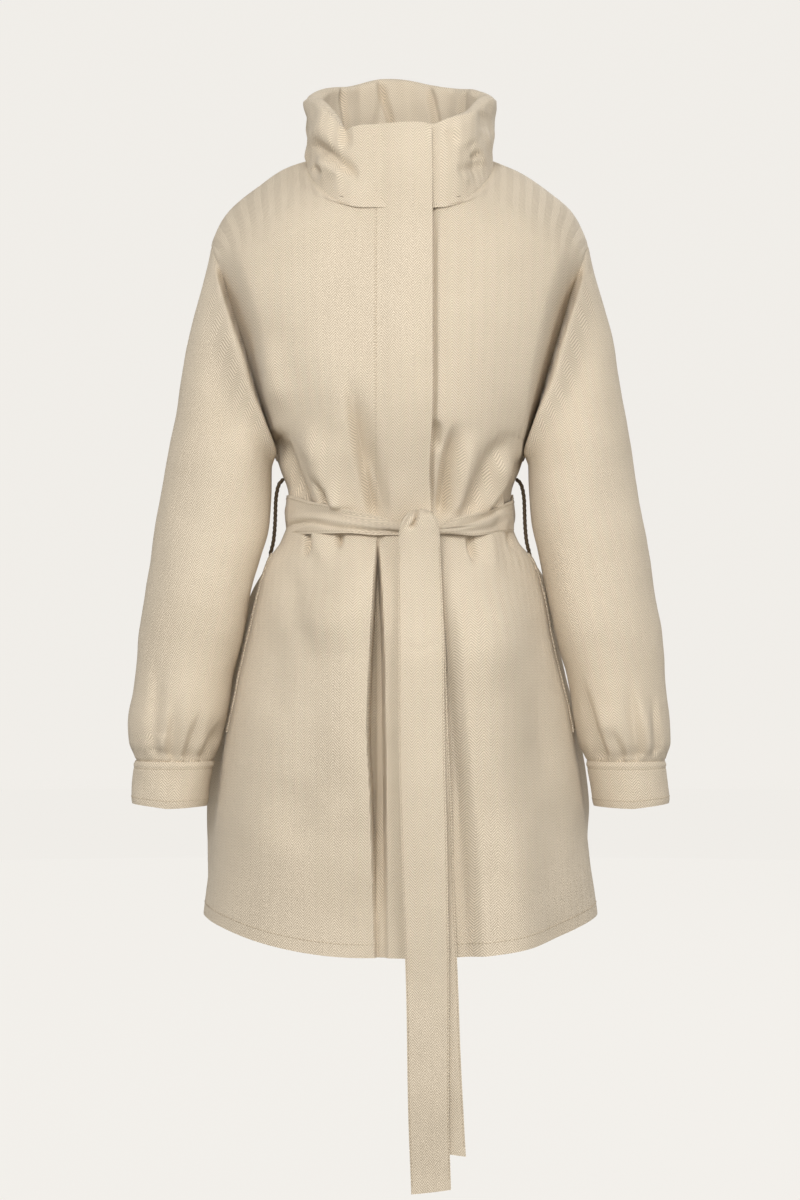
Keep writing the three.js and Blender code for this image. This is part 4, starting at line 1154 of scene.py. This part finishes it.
# ---- Cuffs ----
# Plain narrow cuffs of doubled twill, sewn to the pleated ends of the sleeves.
# Each is stitched round near both edges.
CUFF_TOP, CUFF_BOTTOM = -675, -728
CUFF_ROWS, CUFF_COLUMNS = 26, 150
for word, side in (("left", 1), ("right", -1)):
    share = np.linspace(0, 1, CUFF_ROWS)[:, None]
    turn = np.linspace(0, 2 * np.pi, CUFF_COLUMNS, endpoint=False)[None, :]
    lip = 1 - smooth(share, 0, 0.1) + smooth(share, 0.92, 1.0)
    x = mix(263.5, 258, share) + (mix(43.5, 45.5, share) - 0.8 * lip) * np.cos(turn)
    y = -27 - (39 - 0.8 * lip) * np.sin(turn)
    lift = 5 * np.maximum(np.cos(turn), 0) + 1.6 * np.maximum(-np.cos(turn), 0)
    z = mix(CUFF_BOTTOM + lift, CUFF_TOP, share)
    grid = points(side * x, y, z)
    out = outward(grid)
    ridge = 0.7 * np.exp(-((share - 0.9) / 0.03) ** 2) - 0.9 * np.exp(-((share - 0.84) / 0.03) ** 2)
    grid = grid + out * (wrinkle(grid, 30, 1.3, 11 + side) + ridge)[..., None]
    uv = np.stack(np.broadcast_arrays(turn * 42, z), -1)
    piece = mesh_from_grid(f"cuff_{word}_cloth", [grid, grid - out * 3.0], uv, ring_columns=True)
    piece.data.materials.append(shell)
    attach(piece, f"sleeve_{word}")
    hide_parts(f"cuff_{word}")
    cut_to(piece, uv, "stretched", f"sleeve_{word}_cloth")
    for tag, row in (("upper", 21), ("lower", 4)):
        loop = np.concatenate([grid[row], grid[row][:1]])
        run = stitches(f"cuff_{word}_{tag}_stitches", loop + np.concatenate([out[row], out[row][:1]]) * 0.2,
                       np.concatenate([out[row], out[row][:1]]), 2.8, 1.1, 0.42)
        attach(run, f"sleeve_{word}")

# ---- Sash belt ----
# One long doubled strip of the twill, 50 mm wide, wound once round the waist and tied with a single knot in
# front. It crushes into lengthwise folds towards the knot.
BELT_MIDDLE = -396
BELT_TOP = through([
    (-134, -371), (-108, -379), (-76, -387), (-42, -396), (0, -403), (43, -404), (78, -397), (109, -388),
    (125, -381), (134, -374),
])
BELT_BOTTOM = through([
    (-134, -419), (-100, -418), (-42, -419), (0, -421), (44, -419), (78, -420), (109, -416), (134, -414),
])
BELT_CREASES = [
    ([(-132, -411), (-102, -405), (-71, -412), (0, -419)], (2.2, 5), -5.5, (0.1, 0)),
    ([(-126, -391), (-70, -398), (-20, -409)], (4, 9), -3.0, (0.3, 0)),
    ([(-110, -384), (-60, -392), (-10, -404)], 5, 2.6, (0.3, 0.1)),
    ([(44, -410), (89, -402), (122, -386)], (2.2, 6), -5.5, (0, 0.2)),
    ([(44, -415), (67, -412), (92, -405)], (2, 4), -4.0, (0, 0.4)),
    ([(60, -417), (100, -412), (126, -400)], (3, 5), -2.6, (0.2, 0.3)),
    ([(50, -405), (90, -395), (120, -382)], 4, 2.6, (0.1, 0.3)),
]
belt_turn = np.linspace(0, 2 * np.pi, 420, endpoint=False)[None, :]
belt_share = np.linspace(0, 1, 26)[:, None]
belt_front = np.cos(belt_turn) > 0
sine = np.sin(belt_turn)
half = half_width(BELT_MIDDLE) + 3
flat_x = np.sign(sine) * FLAT * smooth(np.abs(sine), 0, 0.3) + (half - FLAT) * sine
belt_x = np.where(belt_front, flat_x, half * sine)
top = np.where(belt_front, BELT_TOP(belt_x), -371.0)
bottom = np.where(belt_front, BELT_BOTTOM(belt_x), -419.0)
belt_z = mix(bottom, top, belt_share)
near_knot = np.where(belt_front, 1 - smooth(np.abs(belt_x - 20), 25, 110), 0)
bulge = np.sin(np.pi * belt_share) * (1.2 + 5.0 * near_knot)
proud = 3.2 + 6.2 * smooth(np.cos(belt_turn), 0.5, 0.85) + bulge
reach_y = np.where(belt_front, front_depth(belt_z), back_depth(belt_z))
belt_y = -(np.minimum(reach_y, np.where(belt_front, 110.0, 105.0)) + proud) * np.cos(belt_turn)
belt_x = belt_x * (1 + 0.012 * np.sin(np.pi * belt_share))
grid = points(belt_x, belt_y, belt_z)
out = outward(grid)
move = sum(fold(grid[..., 0], grid[..., 2], *f) for f in BELT_CREASES) * (np.cos(belt_turn) > 0)
back_crease = 1.6 * np.sin(belt_share * 9 + 2.2 * np.sin(belt_turn * 3)) * np.where(belt_front, 0.2, 1.0)
grid = grid + out * (move + 0.5 * back_crease + wrinkle(grid, 22, 1.6, 14) + 0.2)[..., None]
grid[..., 2] += wrinkle(grid, 40, 1.6, 15)
belt_run = belt_turn * 118
uv = np.stack(np.broadcast_arrays(belt_share * 50, belt_run), -1)
belt = mesh_from_grid("belt_wrap_cloth", [grid, grid - out * 2.4], uv, ring_columns=True)
belt.data.materials.append(shell)
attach(belt, "coat")
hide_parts("belt_wrap")
cut_to(belt, uv, "stretched", "front_left_cloth", "back_left_cloth")
for edge, row in (("upper", -3), ("lower", 2)):
    ring_out = np.concatenate([out[row], out[row][:1]])
    ring_line = np.concatenate([grid[row], grid[row][:1]])
    run = stitches(f"belt_{edge}_stitches", ring_line + ring_out * 0.2, ring_out, 2.8, 1.2, 0.4)
    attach(run, "coat")

# The knot: one end comes up behind the wrap, folds over its top edge and runs down in front as a hanging
# end. It is pinched at the top, so its near edge curls over itself, and it spreads to its full width below.
HANG_TOP = -432
KNOT_DEPTH = 124
strip_columns = np.concatenate([[-1, -0.97], np.linspace(-0.93, 0.93, 36), [0.97, 1]])[None, :]


def strip_grid(path, middle, width, step=2.7):
    """A strip along (y, z) stations; middle gives its x and width its breadth at each length along it."""
    arc = np.concatenate([[0], np.cumsum([math.dist(a, b) for a, b in zip(path[:-1], path[1:])])])
    run = np.linspace(0, arc[-1], int(arc[-1] / step))
    y = through(list(zip(arc, [p[0] for p in path])))(run)
    z = through(list(zip(arc, [p[1] for p in path])))(run)
    x = middle(run)[:, None] + strip_columns * width(run)[:, None] / 2
    grid = points(x, y[:, None], z[:, None])
    ahead = np.stack([np.gradient(y), np.gradient(z)], -1)
    ahead /= np.linalg.norm(ahead, axis=-1, keepdims=True)
    out = points(0 * x, -ahead[:, 1:] + 0 * x, ahead[:, :1] + 0 * x)
    return grid, out, run


def strip_piece(name, grid, run, thick=2.2):
    uv = np.stack(np.broadcast_arrays((strip_columns + 1) * 25.5, run[:, None]), -1)
    out = normals(grid, (0, -1, 0))
    piece = mesh_from_grid(name, [grid, grid - out * thick], uv)
    piece.data.materials.append(shell)
    return piece, out


def hang_depth(z, stand):
    """The depth of a hanging end: it leaves the knot upright and then follows the swell of the skirt."""
    return -mix(KNOT_DEPTH + stand, front_depth(np.maximum(z, -860)) + stand, smooth(HANG_TOP - z, 0, 130))


# A strip's edges turn back and its middle stands forward, most where it leaves the knot.
crown = 2.6 * (1 - np.abs(strip_columns) ** 2.2) - 2.2 * np.abs(strip_columns) ** 5


loop_path = [(-142, HANG_TOP), (-142.6, -420), (-143.2, -410), (-142.2, -402), (-137.5, -396.5),
             (-129, -394), (-123, -397), (-119.5, -404), (-119, -413)]
loop_middle = through([(0, 21.2), (12, 21), (22, 21.5), (30, 23.5), (38, 24), (60, 24)])
loop_width = through([(0, 46.5), (12, 45.5), (20, 43.5), (28, 38.5), (35, 30), (41, 24), (62, 22)])
grid, out, run = strip_grid(loop_path, loop_middle, loop_width, 0.9)
front_view = (grid[..., 1] < -128) * 1.0
# the curled lip of the near edge, the tuck inside it, the roll beside the tuck and the ply at the far edge
KNOT_FOLDS = [
    ([(-2, -426), (-0.5, -412), (4, -403), (12, -398.5)], (3, 4), 5.5, (0.5, 0.2)),
    ([(18, -396), (17.5, -402), (14, -409), (8, -414)], (1.8, 3), -7.5, (0, 0.4)),
    ([(22, -396), (21, -404), (17, -414)], (4, 2.5), 2.5, (0, 0.5)),
    ([(31, -396), (38, -406), (41, -424)], (5, 3), 2.4, (0.1, 0.6)),
]
curls = sum(fold(grid[..., 0], grid[..., 2], *f) for f in KNOT_FOLDS)
curls = curls * front_view * smooth(run, 2, 12)[:, None]
grid = grid + out * (curls + crown)[..., None]
knot_strip = strip_piece("belt_knot_cloth", grid, -run)[0]
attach(knot_strip, "coat")
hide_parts("belt_knot")

front_middle = through([(0, 21.2), (128, 22.5), (270, 25), (468, 29), (628, 32), (708, 34)])
front_width = through([(0, 46.5), (40, 48.5), (128, 50), (270, 50.5), (468, 47.5), (628, 44.5), (708, 43.5)])
rear_middle = through([(0, 24), (270, 32), (530, 43), (670, 50)])
rear_width = through([(0, 40), (120, 47), (670, 46)])
for word, stand, top, bottom, middle, width, slant, seed in (
    ("front", 18, HANG_TOP, -1138, front_middle, front_width, 2.5, 21),
    ("rear", 9.5, HANG_TOP - 3, -1097, rear_middle, rear_width, -3.0, 31),
):
    heights = np.linspace(top, bottom, 60)
    grid, out, run = strip_grid([(float(hang_depth(h, stand)), h) for h in heights], middle, width)
    out = -out
    away = smooth(run, 0, 60)[:, None]
    sway = wrinkle(grid * np.array([0.3, 0.1, 1]), 110, 6.0, seed) * away
    curl = 1.6 * strip_columns ** 2 * np.sin(run[:, None] / 75 + seed) * away
    fading = crown * (1 - 0.8 * smooth(run, 0, 110))[:, None]
    grid = grid + out * (sway + curl + fading + wrinkle(grid, 34, 1.0, seed + 1) * away)[..., None]
    if word == "front":
        dent = fold(grid[..., 0], grid[..., 2], [(0, -540), (20, -548), (44, -538)], 5, -1.6)
        grid = grid + out * dent[..., None]
    grid[..., 0] += wrinkle(grid * np.array([0, 0, 1]), 150, 2.4, seed + 2) * away
    grid[..., 2] += slant * strip_columns * smooth(run, run[-1] - 60, run[-1])[:, None]
    name = f"belt_end_{word}"
    tail, out = strip_piece(f"{name}_cloth", grid, run)
    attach(tail, name)
    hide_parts(name)
    for edge, column in (("left", -3), ("right", 2)):
        line = grid[3 if word == "rear" else 0:-3, column]
        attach(stitches(f"{name}_{edge}_stitches", line + out[:len(line), column] * 0.2,
                         out[:len(line), column], 2.8, 1.2, 0.4), name)

# The core of the knot shows at both edges of the strip that passes over it.
core_turn = np.linspace(0, 2 * np.pi, 64, endpoint=False)[None, :]
core_rise = np.linspace(0.04, np.pi - 0.04, 40)[:, None]
core = points(np.sin(core_rise) * np.cos(core_turn), np.sin(core_rise) * np.sin(core_turn),
              np.cos(core_rise) + 0 * core_turn)
ripple = 1 + 0.05 * np.sin(7 * core_turn + 3 * core_rise) + 0.04 * np.sin(3 * core_turn - 5 * core_rise)
core = core * ripple[..., None] * np.array([18, 7, 14]) + np.array([21, -129.5, -407])
uv = np.stack(np.broadcast_arrays(core_turn * 20, core_rise * 17), -1)
knot = mesh_from_loops("belt_knot_core", core, uv, wrap_columns=True)
knot.data.materials.append(shell)
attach(knot, "coat")


# ---- Belt loops and hanging loop ----
# Thin plaited cords at the side seams that keep the belt up, and a tape loop inside the back of the neck.
LOOP_PATH = [(133.0, -352), (139.5, -360), (142.8, -378), (143.6, -402), (145.2, -422), (149.5, -441)]
painted_shade_cord = bpy.data.materials.new("plaited_cord")
painted_shade_cord.use_nodes = True
plait_tree = painted_shade_cord.node_tree
plait_shader = plait_tree.nodes["Principled BSDF"]
plait_place = link(plait_tree, "ShaderNodeUVMap", {"uv_map": "cloth"})
plait_wave = link(plait_tree, "ShaderNodeTexWave", {"bands_direction": "DIAGONAL"},
                  Vector=plait_place.outputs[0], Scale=240.0, Distortion=0.6)
# The cords' near-black brown is painted shade: these tones stand in for the deep shadow the cords lie in
# between sleeve and body.
plait_painted_shade_tone = link(plait_tree, "ShaderNodeMix", {"data_type": "RGBA"}, Factor=plait_wave.outputs[1],
                  _6=(0.045, 0.028, 0.012, 1), _7=(0.15, 0.105, 0.06, 1))
plait_tree.links.new(plait_painted_shade_tone.outputs[2], plait_shader.inputs["Base Color"])
plait_relief = link(plait_tree, "ShaderNodeBump", Height=plait_wave.outputs[1], Distance=0.0004)
plait_tree.links.new(plait_relief.outputs[0], plait_shader.inputs["Normal"])
plait_shader.inputs["Roughness"].default_value = 0.75


def cord_mesh(name, path, radius, wide=1.0, sides=12):
    """A thin cord along millimetre points, as a tube with three twisted strands."""
    path = np.asarray(path, float)
    ahead = np.gradient(path, axis=0)
    ahead /= np.linalg.norm(ahead, axis=1, keepdims=True)
    first = np.cross(ahead, (0, 1, 0))
    first /= np.linalg.norm(first, axis=1, keepdims=True)
    second = np.cross(ahead, first)
    turn = np.linspace(0, 2 * np.pi, sides, endpoint=False)[None, :]
    run = np.concatenate([[0], np.cumsum(np.linalg.norm(np.diff(path, axis=0), axis=1))])[:, None]
    strand = 1 + 0.14 * np.cos(3 * turn - run * 1.1)
    end = np.sqrt(np.clip(np.minimum(run, run[-1] - run) / radius, 0.02, 1))
    reach = (radius * strand * end)[..., None]
    flat, tall = np.cos(turn)[..., None] * first[:, None], np.sin(turn)[..., None] * second[:, None]
    grid = path[:, None] + reach * (flat + wide * tall)
    uv = np.stack(np.broadcast_arrays(turn * radius, run), -1)
    middle = np.broadcast_to(path[:, None], grid.shape)
    return mesh_from_grid(name, [grid, mix(grid, middle, 0.5)], uv, ring_columns=True)


for word, side in (("left", 1), ("right", -1)):
    steps = np.linspace(0, 1, len(LOOP_PATH))
    fine_steps = np.linspace(0, 1, 90)
    x = through(list(zip(steps, [p[0] for p in LOOP_PATH])))(fine_steps)
    z = through(list(zip(steps, [p[1] for p in LOOP_PATH])))(fine_steps)
    cord = cord_mesh(f"belt_loop_{word}_cord", points(side * x, 0 * x, z), 2.1, 1.3)
    finish_piece(cord, painted_shade_cord, "strap_fabric", "coat", f"belt_loop_{word}")

HOOK_Y, HOOK_Z = 65, 14
share = np.linspace(0, np.pi, 80)
hook = points(-34 * np.cos(share), HOOK_Y, HOOK_Z - 21 * np.sin(share) ** 0.7)
loop = cord_mesh("hang_loop_cord", hook, 1.5, 1.7)
finish_piece(loop, lining, "lining_fabric", "hang_loop", "hang_loop")

# ---- Zip and press studs ----
# A moulded coil zip on woven tape behind the fly, and six spring studs of brushed brass that close the fly.
def plain_material(name, low, high, rough, metal=0.0, scale=60.0, bump=0.00005):
    """A material that wanders between two tones with a fine surface of its own."""
    material = bpy.data.materials.new(name)
    material.use_nodes = True
    tree = material.node_tree
    shader = tree.nodes["Principled BSDF"]
    place = link(tree, "ShaderNodeTexCoord")
    cloud = link(tree, "ShaderNodeTexNoise", Vector=place.outputs["Object"], Scale=scale, Detail=4.0)
    tone = link(tree, "ShaderNodeMix", {"data_type": "RGBA"}, Factor=cloud.outputs[0], _6=(*low, 1),
                _7=(*high, 1))
    tree.links.new(tone.outputs[2], shader.inputs["Base Color"])
    shine = maths(tree, "MULTIPLY_ADD", cloud.outputs[0], 0.2, rough - 0.1)
    tree.links.new(shine, shader.inputs["Roughness"])
    grain = link(tree, "ShaderNodeTexNoise", Vector=place.outputs["Object"], Scale=scale * 20, Detail=2.0)
    relief = link(tree, "ShaderNodeBump", Height=grain.outputs[0], Distance=bump)
    tree.links.new(relief.outputs[0], shader.inputs["Normal"])
    shader.inputs["Metallic"].default_value = metal
    return material


tape = plain_material("zip_tape_weave", (0.20, 0.15, 0.10), (0.34, 0.27, 0.19), 0.8, bump=0.00015)
coil = plain_material("zip_coil_nylon", (0.10, 0.075, 0.05), (0.16, 0.12, 0.085), 0.45)
brass = plain_material("brushed_brass", (0.42, 0.30, 0.14), (0.58, 0.44, 0.24), 0.32, 1.0)
for node in bpy.context.scene.objects:
    kind = {"zip_tape": tape, "zip_coil": coil}.get(node.name.rsplit("_", 1)[0])
    if node.name.startswith(("stud_", "zip_slider", "zip_pull", "zip_stop", "zip_box")):
        kind = brass
    if kind and node.type == "MESH":
        node.data.materials.clear()
        node.data.materials.append(kind)
        node.data.shade_smooth()
        node.data.set_sharp_from_angle(angle=math.radians(35))

low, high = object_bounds()
